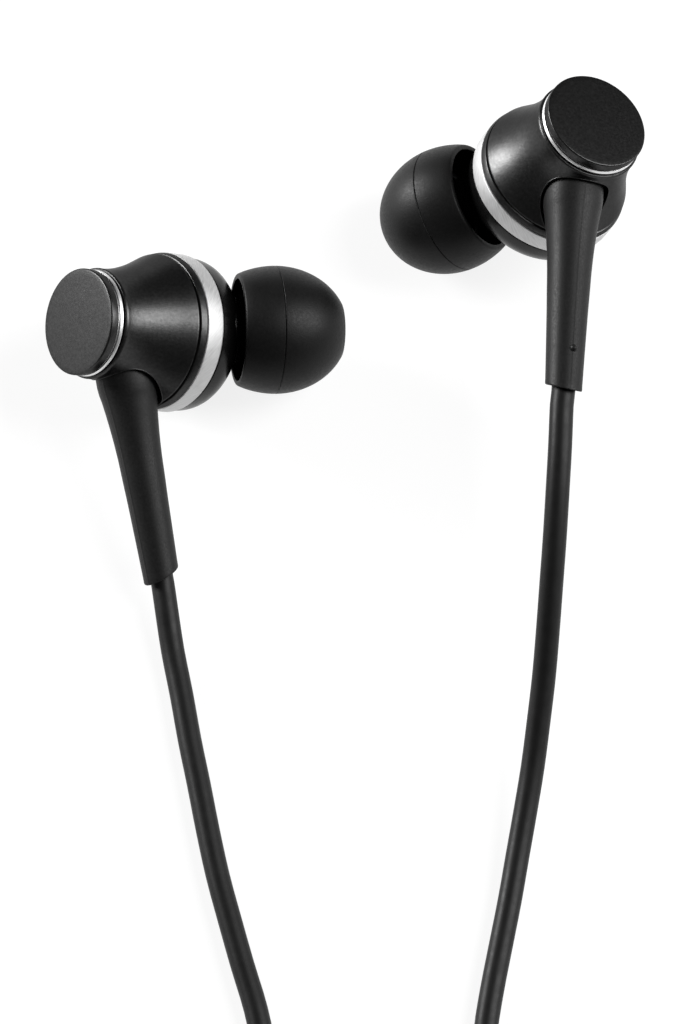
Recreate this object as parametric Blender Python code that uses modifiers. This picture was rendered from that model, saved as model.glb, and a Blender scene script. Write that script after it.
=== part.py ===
"""A pair of wired in-ear earphones lying on a table, with their cord wound up beside them.

Units are metres, +Z up, and the table is at Z = 0. The viewer stands at -Y, and the cords run towards -Y.
An earpiece is modelled in its own frame: the origin is the centre of the silver ring's front edge, +Z runs
along the housing's axis to the cap, -Y is the side that the cord boot leaves by, and the nozzle leans to
+X or -X. left_ and right_ are the wearer's sides.
"""

import bpy
import bmesh
from math import atan2, ceil, cos, pi, radians, sin, sqrt
from mathutils import Euler, Matrix, Vector

MM = 0.001

# ---------------------------------------------------------------- clearances
SEAM = 0.15 * MM            # between outer shells, shown as a fine line
FIT = 0.30 * MM             # between any other two pieces that touch
MERGE = 0.00001             # merge distance of the turned profiles

# ---------------------------------------------------------------- housing
RING_RADIUS = 7.70 * MM     # silver ring, outside
RING_WIDTH = 1.75 * MM      # silver ring, along the axis
RING_WALL = 0.75 * MM
SHELL_WALL = 0.90 * MM      # aluminium and plastic shells
SPIGOT_LENGTH = 1.15 * MM   # how far the front shell plugs into the rear one, past the ring
GROOVE_AT = 2.45 * MM       # groove in the rear shell, from the ring's front edge
GROOVE_WIDTH = 0.25 * MM
GROOVE_DEPTH = 0.20 * MM
WAIST_RADIUS = 5.45 * MM    # rear end of the rear shell
REAR_END = 10.35 * MM       # rear end of the rear shell, along the axis
REAR_WALL = 0.80 * MM
CAP_RADIUS = 5.20 * MM
CAP_FACE_AT = 12.05 * MM
CAP_THICKNESS = 0.95 * MM
CAP_SPIGOT_RADIUS = 3.60 * MM
CAP_SPIGOT_LENGTH = 1.85 * MM
TRIM_RADIUS = 5.22 * MM     # bright ring under the cap
TRIM_CHAMFER = 0.25 * MM
DOME_LENGTH = 4.70 * MM     # front shell, ahead of the silver ring
DOME_STEP = 0.20 * MM       # how far the front shell stands back from the ring's outside

# ---------------------------------------------------------------- nozzle and ear tip
NOZZLE_LEAN = radians(31.6)     # between the nozzle and the housing's axis
NOZZLE_FROM = 4.00 * MM         # where the nozzle's axis meets the housing's axis
NOZZLE_ROOT = 8.00 * MM         # distances along the nozzle's axis
NOZZLE_END = 16.40 * MM
NOZZLE_RADIUS = 2.60 * MM
BARB_RADIUS = 2.95 * MM
BARB_LENGTH = 1.90 * MM
NOZZLE_BORE = 1.70 * MM
MESH_THICKNESS = 0.30 * MM
MESH_SEAT_RADIUS = 2.15 * MM
TIP_RADIUS = 6.33 * MM          # widest radius of the ear tip
TIP_WIDEST_AT = 13.28 * MM
TIP_LENGTH = 9.95 * MM
TIP_REAR = 3.30 * MM            # from the widest radius back to the skirt's rim
TIP_NOSE = 7.30 * MM            # half length of the ellipse that rounds the nose
TIP_WALL = 0.52 * MM
TIP_MOUTH = 1.90 * MM           # radius of the sound opening in the nose
TIP_CORE_WALL = 0.65 * MM
TIP_CORE_LENGTH = 4.90 * MM

# ---------------------------------------------------------------- cord boot (strain relief)
BOOT_AT = Vector((0, -5.53, 6.07)) * MM     # on the boot's axis, at the housing's surface
BOOT_LEAN = radians(11.5)                   # towards the front
BOOT_ROOT_RADIUS = 2.95 * MM
BOOT_END_RADIUS = 1.80 * MM
BOOT_LENGTH = 19.55 * MM
BOOT_INSIDE = 1.90 * MM                     # length inside the housing
BOOT_END_SLANT = radians(23)                # the mouth is cut longer on the cap side
BOOT_BORE_DEPTH = 2.20 * MM
DOT_RADIUS = 0.36 * MM                      # raised dot that marks the left side by touch
DOT_FROM_END = 3.40 * MM
STOPPER_RADIUS = 1.50 * MM
STOPPER_LENGTH = 1.40 * MM

# ---------------------------------------------------------------- driver
DRIVER_RADIUS = 5.60 * MM
DRIVER_FRONT = -1.60 * MM
DRIVER_DEPTH = 2.50 * MM
FRAME_WALL = 0.40 * MM
FRAME_FLOOR = 0.80 * MM
YOKE_RADIUS = 4.00 * MM
YOKE_WALL = 0.60 * MM
YOKE_FLOOR = 0.45 * MM
YOKE_REAR = 2.60 * MM
YOKE_DEPTH = 2.60 * MM
TOP_PLATE_RADIUS = 2.35 * MM
TOP_PLATE_THICKNESS = 0.45 * MM
MAGNET_RADIUS = 2.30 * MM
VOICE_COIL_WALL = 0.35 * MM
VOICE_COIL_LENGTH = 1.65 * MM
DIAPHRAGM_SKIN = 0.15 * MM
DIAPHRAGM_DOME = 0.70 * MM
PAD_THICKNESS = 0.40 * MM
BOARD_SIZE = Vector((5.0, 3.6, 0.5)) * MM

# ---------------------------------------------------------------- cord, coils, split and plug
CORD_DIAMETER = 2.30 * MM
COIL_PITCH = 2.80 * MM          # from turn to turn and from layer to layer
COIL_HEIGHT = 2.15 * MM         # centre line of a coil's lowest layer, on its tie
COIL_POINTS = 20                # to a turn
BRANCH_COIL_TURNS = 3
BRANCH_COIL_LAYERS = 2
RIGHT_COIL_RADIUS = 12.70 * MM  # at the middle of the turns
LEFT_COIL_RADIUS = 11.80 * MM
BRANCH_COIL_Y = -85.80 * MM
MAIN_COIL_TURNS = 12
MAIN_COIL_LAYERS = 4
MAIN_COIL_RADIUS = 11.60 * MM
MAIN_COIL_Y = -119.00 * MM
TIE_THICKNESS = 0.60 * MM
TIE_WIDTH = 3.00 * MM
TIE_CORNER = 1.60 * MM
SPLIT_AT = Vector((3.05, -99.50, 2.20)) * MM    # middle of the two inlets' face
SPLIT_LENGTH = 10.50 * MM
SPLIT_WIDTH = 6.80 * MM
SPLIT_END_WIDTH = 3.80 * MM
SPLIT_HEIGHT = 4.00 * MM
SPLIT_INLETS = 3.00 * MM        # between the two branch cords
PLUG_HEADING = radians(135)     # of the plug's tip, seen from above
PLUG_AT = Vector((-9.30, -128.40, 3.20)) * MM  # where the cord enters the plug's relief
PLUG_RELIEF_LENGTH = 8.50 * MM
PLUG_RELIEF_RADIUS = 1.80 * MM
PLUG_RADIUS = 3.00 * MM
PLUG_LENGTH = 15.50 * MM
CONTACT_RADIUS = 1.75 * MM      # 3.5 mm plug
SLEEVE_LENGTH = 8.00 * MM
RING_CONTACT_LENGTH = 2.30 * MM
INSULATOR_LENGTH = 0.75 * MM
TIP_CONTACT_LENGTH = 1.70 * MM

# Where the two earpieces lie: location in millimetres, then rotation in degrees about X, Y and Z.
# Each rests on its ear tip, the right one on its silver ring as well.
RIGHT_PLACE = ((-16.98, 1.66, 6.84), (18.5, -46.37, -11.84))
LEFT_PLACE = ((19.76, 15.92, 10.58), (-10.7, 22.74, -3.37))

# Each free cord's route, in millimetres, chosen by hand: out of the boot, down to the table and along it.
RIGHT_ROUTE = (
    (-17.45, -25.2, 2.35), (-16.75, -29.6, 1.45), (-15.85, -34, 1.25), (-15, -38.6, 1.25),
    (-14.05, -43.1, 1.25), (-13.15, -47.6, 1.25), (-12.15, -52.1, 1.25), (-10.95, -56.5, 1.25),
    (-9.7, -60.9, 1.25), (-8.4, -65.2, 1.25), (-7.6, -69.3, 1.25), (-7.35, -73.3, 1.35),
    (-7.5, -77.3, 1.65), (-7.65, -81.1, 2.1),
)
LEFT_ROUTE = (
    (20.75, -9.9, 16.7), (20.55, -13.9, 16.0), (20.3, -17.9, 14.8), (20.05, -21.9, 13.1),
    (19.75, -25.9, 11.1), (19.45, -29.9, 8.9), (19.1, -33.9, 6.8), (18.6, -37.9, 4.95),
    (18.05, -41.9, 3.4), (17.35, -45.9, 2.3), (16.55, -50.2, 1.6), (15.75, -54.55, 1.3),
    (14.85, -58.9, 1.25), (13.95, -63.3, 1.25), (13.3, -67.3, 1.25), (13.15, -71.3, 1.3),
    (13.35, -75.3, 1.5), (13.65, -78.8, 1.85), (13.75, -81.3, 2.1),
)
RIGHT_TAIL_ROUTE = ((-7.15, -92.6, 4.3), (-3.65, -95.0, 3.2), (0.05, -95.9, 2.5))
LEFT_TAIL_ROUTE = ((13.25, -92.6, 4.3), (9.75, -95.0, 3.2), (6.05, -95.9, 2.5))
MAIN_TAIL_ROUTE = (
    (3.0, -124.7, 10.3), (2.6, -128.4, 9.2), (0.05, -131.5, 7.3), (-4.0, -132.2, 5.1),
    (-7.2, -130.5, 3.7),
)

HOUSING_STEPS = 28
SMALL_STEPS = 18


# ---------------------------------------------------------------- scene helpers
def clear_scene():
    for obj in list(bpy.data.objects):
        bpy.data.objects.remove(obj, do_unlink=True)


def new_collection(name):
    made = bpy.data.collections.new(name)
    bpy.context.scene.collection.children.link(made)
    return made


def finish(name, colour, roughness, metallic=0.0):
    """A Principled material of one colour."""
    made = bpy.data.materials.new(name)
    made.use_nodes = True
    shader = made.node_tree.nodes["Principled BSDF"]
    shader.inputs["Base Color"].default_value = (*colour, 1)
    shader.inputs["Roughness"].default_value = roughness
    shader.inputs["Metallic"].default_value = metallic
    return made


clear_scene()
PARTS = new_collection("wired_earphones")
CUTTERS = new_collection("cutters")

SATIN_BLACK = finish("anodised_black", (0.022, 0.022, 0.024), 0.38, 0.9)
BRUSHED_SILVER = finish("brushed_silver", (0.80, 0.80, 0.79), 0.30, 1.0)
BRIGHT_TRIM = finish("bright_trim", (0.86, 0.86, 0.86), 0.12, 1.0)
GLOSS_BLACK = finish("black_plastic", (0.012, 0.012, 0.012), 0.25)
SILICONE = finish("black_silicone", (0.016, 0.016, 0.016), 0.55)
ELASTOMER = finish("black_elastomer", (0.020, 0.020, 0.020), 0.60)
CORD_SKIN = finish("black_cord", (0.022, 0.022, 0.022), 0.48)
STEEL = finish("plated_steel", (0.55, 0.55, 0.56), 0.30, 1.0)
MAGNET = finish("nickel_magnet", (0.62, 0.61, 0.58), 0.22, 1.0)
COPPER = finish("copper_winding", (0.72, 0.36, 0.18), 0.35, 1.0)
FILM = finish("polymer_film", (0.55, 0.50, 0.38), 0.30)
BOARD = finish("circuit_board", (0.03, 0.16, 0.07), 0.45)
FELT = finish("white_felt", (0.72, 0.70, 0.66), 0.90)
GOLD = finish("gold_contact", (0.83, 0.62, 0.28), 0.20, 1.0)
TIE_STRAP = finish("tie_strap", (0.025, 0.025, 0.025), 0.70)


def show(name, mesh, material, parent=None, smooth=True):
    """Puts a mesh or a curve into the scene as one piece."""
    obj = bpy.data.objects.new(name, mesh)
    PARTS.objects.link(obj)
    mesh.materials.append(material)
    if parent:
        obj.parent = parent
    if smooth and isinstance(mesh, bpy.types.Mesh):
        mesh.shade_smooth()
    return obj


def make_cutter(obj):
    """Turns a piece into a cutter, which isn't part of the object."""
    PARTS.objects.unlink(obj)
    CUTTERS.objects.link(obj)
    obj.hide_render = True
    obj.display_type = "WIRE"
    return obj


def combine(obj, other, operation="DIFFERENCE"):
    modifier = obj.modifiers.new(other.name, "BOOLEAN")
    modifier.object = other
    modifier.operation = operation
    modifier.solver = "EXACT"


def turned(name, outline, material, steps=HOUSING_STEPS, parent=None):
    """A turned piece. The outline's (radius, height) points run down its outer side. An outline that
    doesn't start on the axis is closed, which makes a ring."""
    mesh = bpy.data.meshes.new(name)
    points = [(r, 0, z) for r, z in outline]
    edges = [(i, i + 1) for i in range(len(points) - 1)]
    if outline[0][0] > 0:
        edges.append((len(points) - 1, 0))
    mesh.from_pydata(points, edges, [])
    obj = show(name, mesh, material, parent)
    screw = obj.modifiers.new("turn", "SCREW")
    screw.steps = screw.render_steps = steps
    screw.use_merge_vertices = True
    screw.merge_threshold = MERGE
    screw.use_smooth_shade = True
    return obj


def set_pose(obj, origin, z_axis, x_hint=Vector((1, 0, 0))):
    """Places an object, in its parent's frame, with its Z along z_axis."""
    z = z_axis.normalized()
    y = z.cross(x_hint).normalized()
    rotation = Matrix((y.cross(z), y, z)).transposed()
    obj.location = origin
    obj.rotation_euler = rotation.to_euler()


# ---------------------------------------------------------------- housing
def body_outline():
    """The rear shell's outside from its rear end to the groove: a waist that flares to the shoulder."""
    rear = [(WAIST_RADIUS - 0.15 * MM, REAR_END), (WAIST_RADIUS, REAR_END - 0.18 * MM)]
    flare = []
    shoulder = GROOVE_AT + GROOVE_WIDTH + 0.20 * MM
    length = REAR_END - 0.18 * MM - shoulder
    for i in range(1, 9):
        t = i / 8
        # Slow at the waist, steepest past mid length, then round at the shoulder.
        rise = 0.20 * t + 0.60 * t**2 + 0.20 * (3 * t**2 - 2 * t**3)
        radius = WAIST_RADIUS + (RING_RADIUS - 0.06 * MM - WAIST_RADIUS) * rise
        flare.append((radius, REAR_END - 0.18 * MM - length * t))
    return rear + flare


def make_rear_housing(side, unit):
    front_end = RING_WIDTH + SEAM
    band = RING_RADIUS - 0.04 * MM
    spigot_hole = RING_RADIUS - RING_WALL
    spigot_stop = RING_WIDTH + SPIGOT_LENGTH + FIT
    outline = body_outline() + [
        (band, GROOVE_AT + GROOVE_WIDTH),
        (band - GROOVE_DEPTH, GROOVE_AT + GROOVE_WIDTH * 0.7),
        (band - GROOVE_DEPTH, GROOVE_AT + GROOVE_WIDTH * 0.3),
        (band, GROOVE_AT),
        (band, front_end + 0.06 * MM),
        (band - 0.06 * MM, front_end),
        (spigot_hole, front_end),
        (spigot_hole, spigot_stop),
        (RING_RADIUS - 1.40 * MM, spigot_stop),
        (RING_RADIUS - 1.65 * MM, 4.60 * MM),
        (WAIST_RADIUS - 0.45 * MM, 7.10 * MM),
        (WAIST_RADIUS - SHELL_WALL, REAR_END - REAR_WALL),
        (CAP_SPIGOT_RADIUS + FIT, REAR_END - REAR_WALL),
        (CAP_SPIGOT_RADIUS + FIT, REAR_END),
    ]
    shell = turned(f"{side}_rear_housing", outline, SATIN_BLACK, parent=unit)
    # The boot is seated in a saddle-shaped opening, a clearance wider than the boot.
    saddle = turned(f"{side}_boot_opening", boot_outline(FIT), SATIN_BLACK, 24, unit)
    set_pose(saddle, BOOT_AT, -boot_direction())
    make_cutter(saddle)
    combine(shell, saddle)
    return shell


def make_trim_ring(side, unit):
    inner = RING_RADIUS - RING_WALL
    return turned(
        f"{side}_trim_ring",
        [
            (RING_RADIUS - 0.14 * MM, RING_WIDTH),
            (RING_RADIUS - 0.02 * MM, RING_WIDTH - 0.10 * MM),
            (RING_RADIUS, 0.16 * MM),
            (RING_RADIUS - 0.14 * MM, 0),
            (inner, 0),
            (inner, RING_WIDTH),
        ],
        BRUSHED_SILVER,
        parent=unit,
    )


def make_rear_cap(side, unit):
    under = CAP_FACE_AT - CAP_THICKNESS
    edge = 0.12 * MM
    return turned(
        f"{side}_rear_cap",
        [
            (0, CAP_FACE_AT),
            (CAP_RADIUS - edge, CAP_FACE_AT),
            (CAP_RADIUS, CAP_FACE_AT - edge),
            (CAP_RADIUS, under + edge),
            (CAP_RADIUS - edge, under),
            (CAP_SPIGOT_RADIUS, under),
            (CAP_SPIGOT_RADIUS, under - CAP_SPIGOT_LENGTH),
            (0, under - CAP_SPIGOT_LENGTH),
        ],
        SATIN_BLACK,
        parent=unit,
    )


def make_cap_trim(side, unit):
    low = REAR_END + SEAM
    high = CAP_FACE_AT - CAP_THICKNESS - SEAM
    inner = CAP_SPIGOT_RADIUS + FIT
    return turned(
        f"{side}_cap_trim",
        [
            (TRIM_RADIUS - TRIM_CHAMFER, high),
            (TRIM_RADIUS, low + 0.12 * MM),
            (TRIM_RADIUS - 0.08 * MM, low),
            (inner, low),
            (inner, high),
        ],
        BRIGHT_TRIM,
        parent=unit,
    )


# ---------------------------------------------------------------- nozzle side
def nozzle_axis(lean_to):
    """The nozzle's direction in the earpiece's frame. lean_to is +1 or -1."""
    return Vector((lean_to * sin(NOZZLE_LEAN), 0, -cos(NOZZLE_LEAN)))


def on_nozzle(obj, lean_to):
    set_pose(obj, Vector((0, 0, NOZZLE_FROM)), nozzle_axis(lean_to), Vector((0, 1, 0)))
    return obj


def make_front_housing(side, unit, lean_to):
    spigot = RING_RADIUS - RING_WALL - FIT
    cavity = DRIVER_RADIUS + FIT
    flange = RING_RADIUS - DOME_STEP
    seat = DRIVER_FRONT - FIT
    shell = turned(
        f"{side}_front_housing",
        [
            (0, -DOME_LENGTH + 1.30 * MM),
            (4.40 * MM, -DOME_LENGTH + 2.05 * MM),
            (cavity - 0.50 * MM, seat),
            (cavity, seat),
            (cavity, RING_WIDTH + SPIGOT_LENGTH),
            (spigot, RING_WIDTH + SPIGOT_LENGTH),
            (spigot, -SEAM),
            (flange - 0.05 * MM, -SEAM),
            (flange, -0.45 * MM),
            (flange - 0.10 * MM, -1.45 * MM),
            (flange - 0.42 * MM, -2.25 * MM),
            (flange - 0.95 * MM, -2.90 * MM),
            (flange - 1.75 * MM, -3.40 * MM),
            (flange - 2.80 * MM, -3.85 * MM),
            (flange - 4.10 * MM, -4.35 * MM),
            (0, -DOME_LENGTH),
        ],
        GLOSS_BLACK,
        parent=unit,
    )
    neck = NOZZLE_END - BARB_LENGTH
    nozzle = turned(
        f"{side}_nozzle",
        [
            (0, NOZZLE_END),
            (NOZZLE_RADIUS - 0.25 * MM, NOZZLE_END),
            (NOZZLE_RADIUS, NOZZLE_END - 0.35 * MM),
            (BARB_RADIUS, NOZZLE_END - 1.10 * MM),
            (BARB_RADIUS, neck + 0.25 * MM),
            (NOZZLE_RADIUS, neck),
            (NOZZLE_RADIUS, NOZZLE_ROOT + 2.80 * MM),
            (NOZZLE_RADIUS + 0.15 * MM, NOZZLE_ROOT + 2.20 * MM),
            (NOZZLE_RADIUS + 0.70 * MM, NOZZLE_ROOT + 1.20 * MM),
            (NOZZLE_RADIUS + 0.75 * MM, NOZZLE_ROOT + 0.60 * MM),
            (NOZZLE_RADIUS + 0.40 * MM, NOZZLE_ROOT),
            (0, NOZZLE_ROOT),
        ],
        GLOSS_BLACK,
        24,
        unit,
    )
    make_cutter(on_nozzle(nozzle, lean_to))
    combine(shell, nozzle, "UNION")
    mouth = NOZZLE_END - MESH_THICKNESS - 2 * FIT
    bore = turned(
        f"{side}_nozzle_bore",
        [
            (0, NOZZLE_END + 1 * MM),
            (MESH_SEAT_RADIUS, NOZZLE_END + 1 * MM),
            (MESH_SEAT_RADIUS, mouth),
            (NOZZLE_BORE, mouth),
            (NOZZLE_BORE, NOZZLE_ROOT - 1.2 * MM),
            (0, NOZZLE_ROOT - 1.2 * MM),
        ],
        GLOSS_BLACK,
        SMALL_STEPS,
        unit,
    )
    make_cutter(on_nozzle(bore, lean_to))
    combine(shell, bore)
    return shell


def make_nozzle_mesh(side, unit, lean_to):
    low = NOZZLE_END - MESH_THICKNESS - FIT
    radius = MESH_SEAT_RADIUS - FIT
    disc = turned(
        f"{side}_nozzle_mesh",
        [(0, low + MESH_THICKNESS), (radius, low + MESH_THICKNESS), (radius, low), (0, low)],
        STEEL,
        SMALL_STEPS,
        unit,
    )
    return on_nozzle(disc, lean_to)


def tip_radius_at(s):
    """The ear tip's outside radius at a distance along the nozzle's axis."""
    ahead = s - TIP_WIDEST_AT
    if ahead > 0:
        return TIP_RADIUS * sqrt(1 - (ahead / TIP_NOSE) ** 2)
    return TIP_RADIUS - 0.61 * MM * (ahead / TIP_REAR) ** 2


def make_ear_tip(side, unit, lean_to):
    rim = TIP_WIDEST_AT - TIP_REAR
    nose = rim + TIP_LENGTH
    core_front = nose - 2.60 * MM
    core_bore = BARB_RADIUS + FIT
    core = core_bore + TIP_CORE_WALL
    stations = [nose - d * MM for d in (0.6, 1.6, 2.8, 4.4, 6.6, 8.4, 9.6)]
    outside = [(tip_radius_at(s), s) for s in stations]
    inside = [
        (tip_radius_at(rim + d * MM) - TIP_WALL, rim + d * MM)
        for d in (0.15, 1.8, 3.8, 6.0)
    ]
    tip = turned(
        f"{side}_ear_tip",
        [
            (TIP_MOUTH, nose),
            (TIP_MOUTH + 0.55 * MM, nose - 0.08 * MM),
            *outside,
            (tip_radius_at(rim) - 0.14 * MM, rim + 0.02 * MM),
            *inside,
            (core, core_front),
            (core, core_front - TIP_CORE_LENGTH),
            (core_bore, core_front - TIP_CORE_LENGTH),
            (core_bore, core_front),
            (TIP_MOUTH, core_front + 0.30 * MM),
        ],
        SILICONE,
        24,
        unit,
    )
    return on_nozzle(tip, lean_to)


# ---------------------------------------------------------------- boot
def boot_direction():
    """From the housing to the boot's end, in the earpiece's frame."""
    return Vector((0, -cos(BOOT_LEAN), -sin(BOOT_LEAN)))


def boot_outline(extra=0.0, length=BOOT_LENGTH + 2 * MM):
    """The boot's outside, with its Z towards the housing. extra widens it, for a cutter."""
    taper = BOOT_ROOT_RADIUS - BOOT_END_RADIUS
    # Share of the taper that is left at a distance from the root: quick at first, then slow.
    shares = (
        (0.3, 0.99), (1.5, 0.80), (2.5, 0.69), (3.5, 0.58), (5.2, 0.44),
        (7.5, 0.31), (11.0, 0.19), (15.5, 0.07),
    )
    inside = BOOT_INSIDE + extra
    outline = [
        (0, inside),
        (BOOT_ROOT_RADIUS - 0.20 * MM + extra, inside),
        (BOOT_ROOT_RADIUS + extra, inside - 0.25 * MM),
    ]
    outline += [(BOOT_END_RADIUS + taper * k + extra, -d * MM) for d, k in shares]
    outline += [(BOOT_END_RADIUS + extra, -length), (0, -length)]
    return outline


def make_strain_relief(side, unit, with_dot):
    boot = turned(f"{side}_strain_relief", boot_outline(), ELASTOMER, 20, unit)
    set_pose(boot, BOOT_AT, -boot_direction())
    # A large block cuts the boot's mouth at a slant.
    bm = bmesh.new()
    bmesh.ops.create_cube(bm, size=12 * MM)
    block_mesh = bpy.data.meshes.new(f"{side}_mouth_block")
    bm.to_mesh(block_mesh)
    bm.free()
    block = show(f"{side}_mouth_block", block_mesh, ELASTOMER, unit, smooth=False)
    mouth = BOOT_AT + boot_direction() * BOOT_LENGTH
    toward_cap = Vector((0, -sin(BOOT_LEAN), cos(BOOT_LEAN)))
    mouth_normal = boot_direction() * cos(BOOT_END_SLANT) - toward_cap * sin(BOOT_END_SLANT)
    set_pose(block, mouth + mouth_normal * 6 * MM, mouth_normal)
    combine(boot, make_cutter(block))
    bore_bottom = BOOT_LENGTH - BOOT_BORE_DEPTH
    bore = turned(
        f"{side}_boot_bore",
        [
            (0, -bore_bottom),
            (CORD_DIAMETER / 2 + 0.25 * MM, -bore_bottom),
            (CORD_DIAMETER / 2 + 0.25 * MM, -BOOT_LENGTH - 3 * MM),
            (0, -BOOT_LENGTH - 3 * MM),
        ],
        ELASTOMER,
        16,
        unit,
    )
    set_pose(bore, BOOT_AT, -boot_direction())
    combine(boot, make_cutter(bore))
    if with_dot:
        bm = bmesh.new()
        bmesh.ops.create_uvsphere(bm, u_segments=10, v_segments=6, radius=DOT_RADIUS)
        dot_mesh = bpy.data.meshes.new(f"{side}_dot")
        bm.to_mesh(dot_mesh)
        bm.free()
        dot = show(f"{side}_dot", dot_mesh, ELASTOMER, unit)
        at_dot = BOOT_AT + boot_direction() * (BOOT_LENGTH - DOT_FROM_END)
        dot.location = at_dot + toward_cap * (BOOT_END_RADIUS + 0.08 * MM)
        combine(boot, make_cutter(dot), "UNION")
    return boot


def make_cord_stopper(side, unit):
    low = BOOT_INSIDE + FIT
    bead = turned(
        f"{side}_cord_stopper",
        [
            (0, low + STOPPER_LENGTH),
            (STOPPER_RADIUS * 0.7, low + STOPPER_LENGTH),
            (STOPPER_RADIUS, low + STOPPER_LENGTH * 0.7),
            (STOPPER_RADIUS, low + STOPPER_LENGTH * 0.3),
            (STOPPER_RADIUS * 0.7, low),
            (0, low),
        ],
        STEEL,
        16,
        unit,
    )
    set_pose(bead, BOOT_AT, -boot_direction())
    return bead


# ---------------------------------------------------------------- driver
def ring_outline(outer, inner, high, low):
    return [(outer, high), (outer, low), (inner, low), (inner, high)]


def disc_outline(radius, high, low):
    return [(0, high), (radius, high), (radius, low), (0, low)]


def make_driver(side, unit):
    """The dynamic driver: its frame, its magnetic circuit, and the diaphragm with its voice coil."""
    frame_rear = DRIVER_FRONT + DRIVER_DEPTH
    hub = YOKE_RADIUS + FIT
    turned(
        f"{side}_driver_frame",
        [
            (DRIVER_RADIUS, frame_rear),
            (DRIVER_RADIUS, DRIVER_FRONT),
            (DRIVER_RADIUS - FRAME_WALL, DRIVER_FRONT),
            (DRIVER_RADIUS - FRAME_WALL, frame_rear - FRAME_FLOOR),
            (hub, frame_rear - FRAME_FLOOR),
            (hub, frame_rear),
        ],
        STEEL,
        20,
        unit,
    )
    pad_low = frame_rear + FIT
    turned(
        f"{side}_damping_pad",
        ring_outline(DRIVER_RADIUS - 0.1 * MM, hub, pad_low + PAD_THICKNESS, pad_low),
        FELT,
        SMALL_STEPS,
        unit,
    )
    yoke_front = YOKE_REAR - YOKE_DEPTH
    well = YOKE_REAR - YOKE_FLOOR
    turned(
        f"{side}_yoke",
        [
            (0, YOKE_REAR),
            (YOKE_RADIUS, YOKE_REAR),
            (YOKE_RADIUS, yoke_front),
            (YOKE_RADIUS - YOKE_WALL, yoke_front),
            (YOKE_RADIUS - YOKE_WALL, well),
            (0, well),
        ],
        STEEL,
        20,
        unit,
    )
    plate_front = yoke_front + 0.20 * MM
    magnet_front = plate_front + TOP_PLATE_THICKNESS + FIT
    turned(
        f"{side}_magnet",
        disc_outline(MAGNET_RADIUS, well - FIT, magnet_front),
        MAGNET,
        SMALL_STEPS,
        unit,
    )
    turned(
        f"{side}_top_plate",
        disc_outline(TOP_PLATE_RADIUS, plate_front + TOP_PLATE_THICKNESS, plate_front),
        STEEL,
        SMALL_STEPS,
        unit,
    )
    # The voice coil runs in the gap between the top plate and the yoke, midway.
    gap_middle = (TOP_PLATE_RADIUS + YOKE_RADIUS - YOKE_WALL) / 2
    coil_front = yoke_front - 0.75 * MM
    turned(
        f"{side}_voice_coil",
        ring_outline(
            gap_middle + VOICE_COIL_WALL / 2,
            gap_middle - VOICE_COIL_WALL / 2,
            coil_front + VOICE_COIL_LENGTH,
            coil_front,
        ),
        COPPER,
        SMALL_STEPS,
        unit,
    )
    skin = coil_front - FIT
    rim = DRIVER_RADIUS - FRAME_WALL - FIT
    back = [
        (0, skin - DIAPHRAGM_DOME),
        (gap_middle * 0.6, skin - DIAPHRAGM_DOME * 0.62),
        (gap_middle, skin),
        ((gap_middle + rim) / 2, skin - 0.35 * MM),
        (rim, skin - 0.05 * MM),
    ]
    front = [(r, z - DIAPHRAGM_SKIN) for r, z in reversed(back)]
    turned(f"{side}_diaphragm", back + front, FILM, SMALL_STEPS, unit)
    board_low = YOKE_REAR + FIT
    bm = bmesh.new()
    bmesh.ops.create_cube(bm, size=1)
    bmesh.ops.scale(bm, vec=BOARD_SIZE, verts=bm.verts)
    board_mesh = bpy.data.meshes.new(f"{side}_terminal_board")
    bm.to_mesh(board_mesh)
    bm.free()
    board = show(f"{side}_terminal_board", board_mesh, BOARD, unit, smooth=False)
    board.location = (0, 0, board_low + BOARD_SIZE.z / 2)


# ---------------------------------------------------------------- cord
def smooth_path(points, step=2.4 * CORD_DIAMETER):
    """Points about a step apart on a Catmull-Rom curve through the route's own points. The first and the
    last stretch stay straight."""
    pts = [Vector(p) for p in points]
    fine = []
    for i in range(1, len(pts) - 2):
        p0, p1, p2, p3 = pts[i - 1:i + 3]
        for k in range(16):
            t = k / 16
            fine.append(
                0.5 * (2 * p1 + (p2 - p0) * t + (2 * p0 - 5 * p1 + 4 * p2 - p3) * t**2
                       + (3 * p1 - p0 - 3 * p2 + p3) * t**3)
            )
    fine.append(pts[-2])
    total = sum((b - a).length for a, b in zip(fine, fine[1:]))
    count = max(1, ceil(total / step))
    out, run, k = [pts[0], fine[0]], 0.0, 1
    for a, b in zip(fine, fine[1:]):
        size = (b - a).length
        while k < count and run + size >= total * k / count:
            out.append(a.lerp(b, (total * k / count - run) / size))
            k += 1
        run += size
    return out + [fine[-1], pts[-1]], total + (pts[1] - pts[0]).length + (pts[-1] - pts[-2]).length


def tube(name, points, material=CORD_SKIN, sides=2):
    curve = bpy.data.curves.new(name, "CURVE")
    curve.dimensions = "3D"
    curve.bevel_depth = CORD_DIAMETER / 2
    curve.bevel_resolution = sides
    curve.use_fill_caps = True
    spline = curve.splines.new("POLY")
    spline.points.add(len(points) - 1)
    for point, at in zip(spline.points, points):
        point.co = (*at, 1)
    return show(name, curve, material)


def stretch(name, start, start_heading, route, end, end_heading):
    """A free cord between two pieces. It leaves and arrives straight for one diameter."""
    middle = [Vector(p) * MM for p in route]
    points = [start, start + start_heading * CORD_DIAMETER, *middle]
    points += [end - end_heading * CORD_DIAMETER, end]
    path, length = smooth_path(points)
    tube(name, path)
    return length


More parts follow.
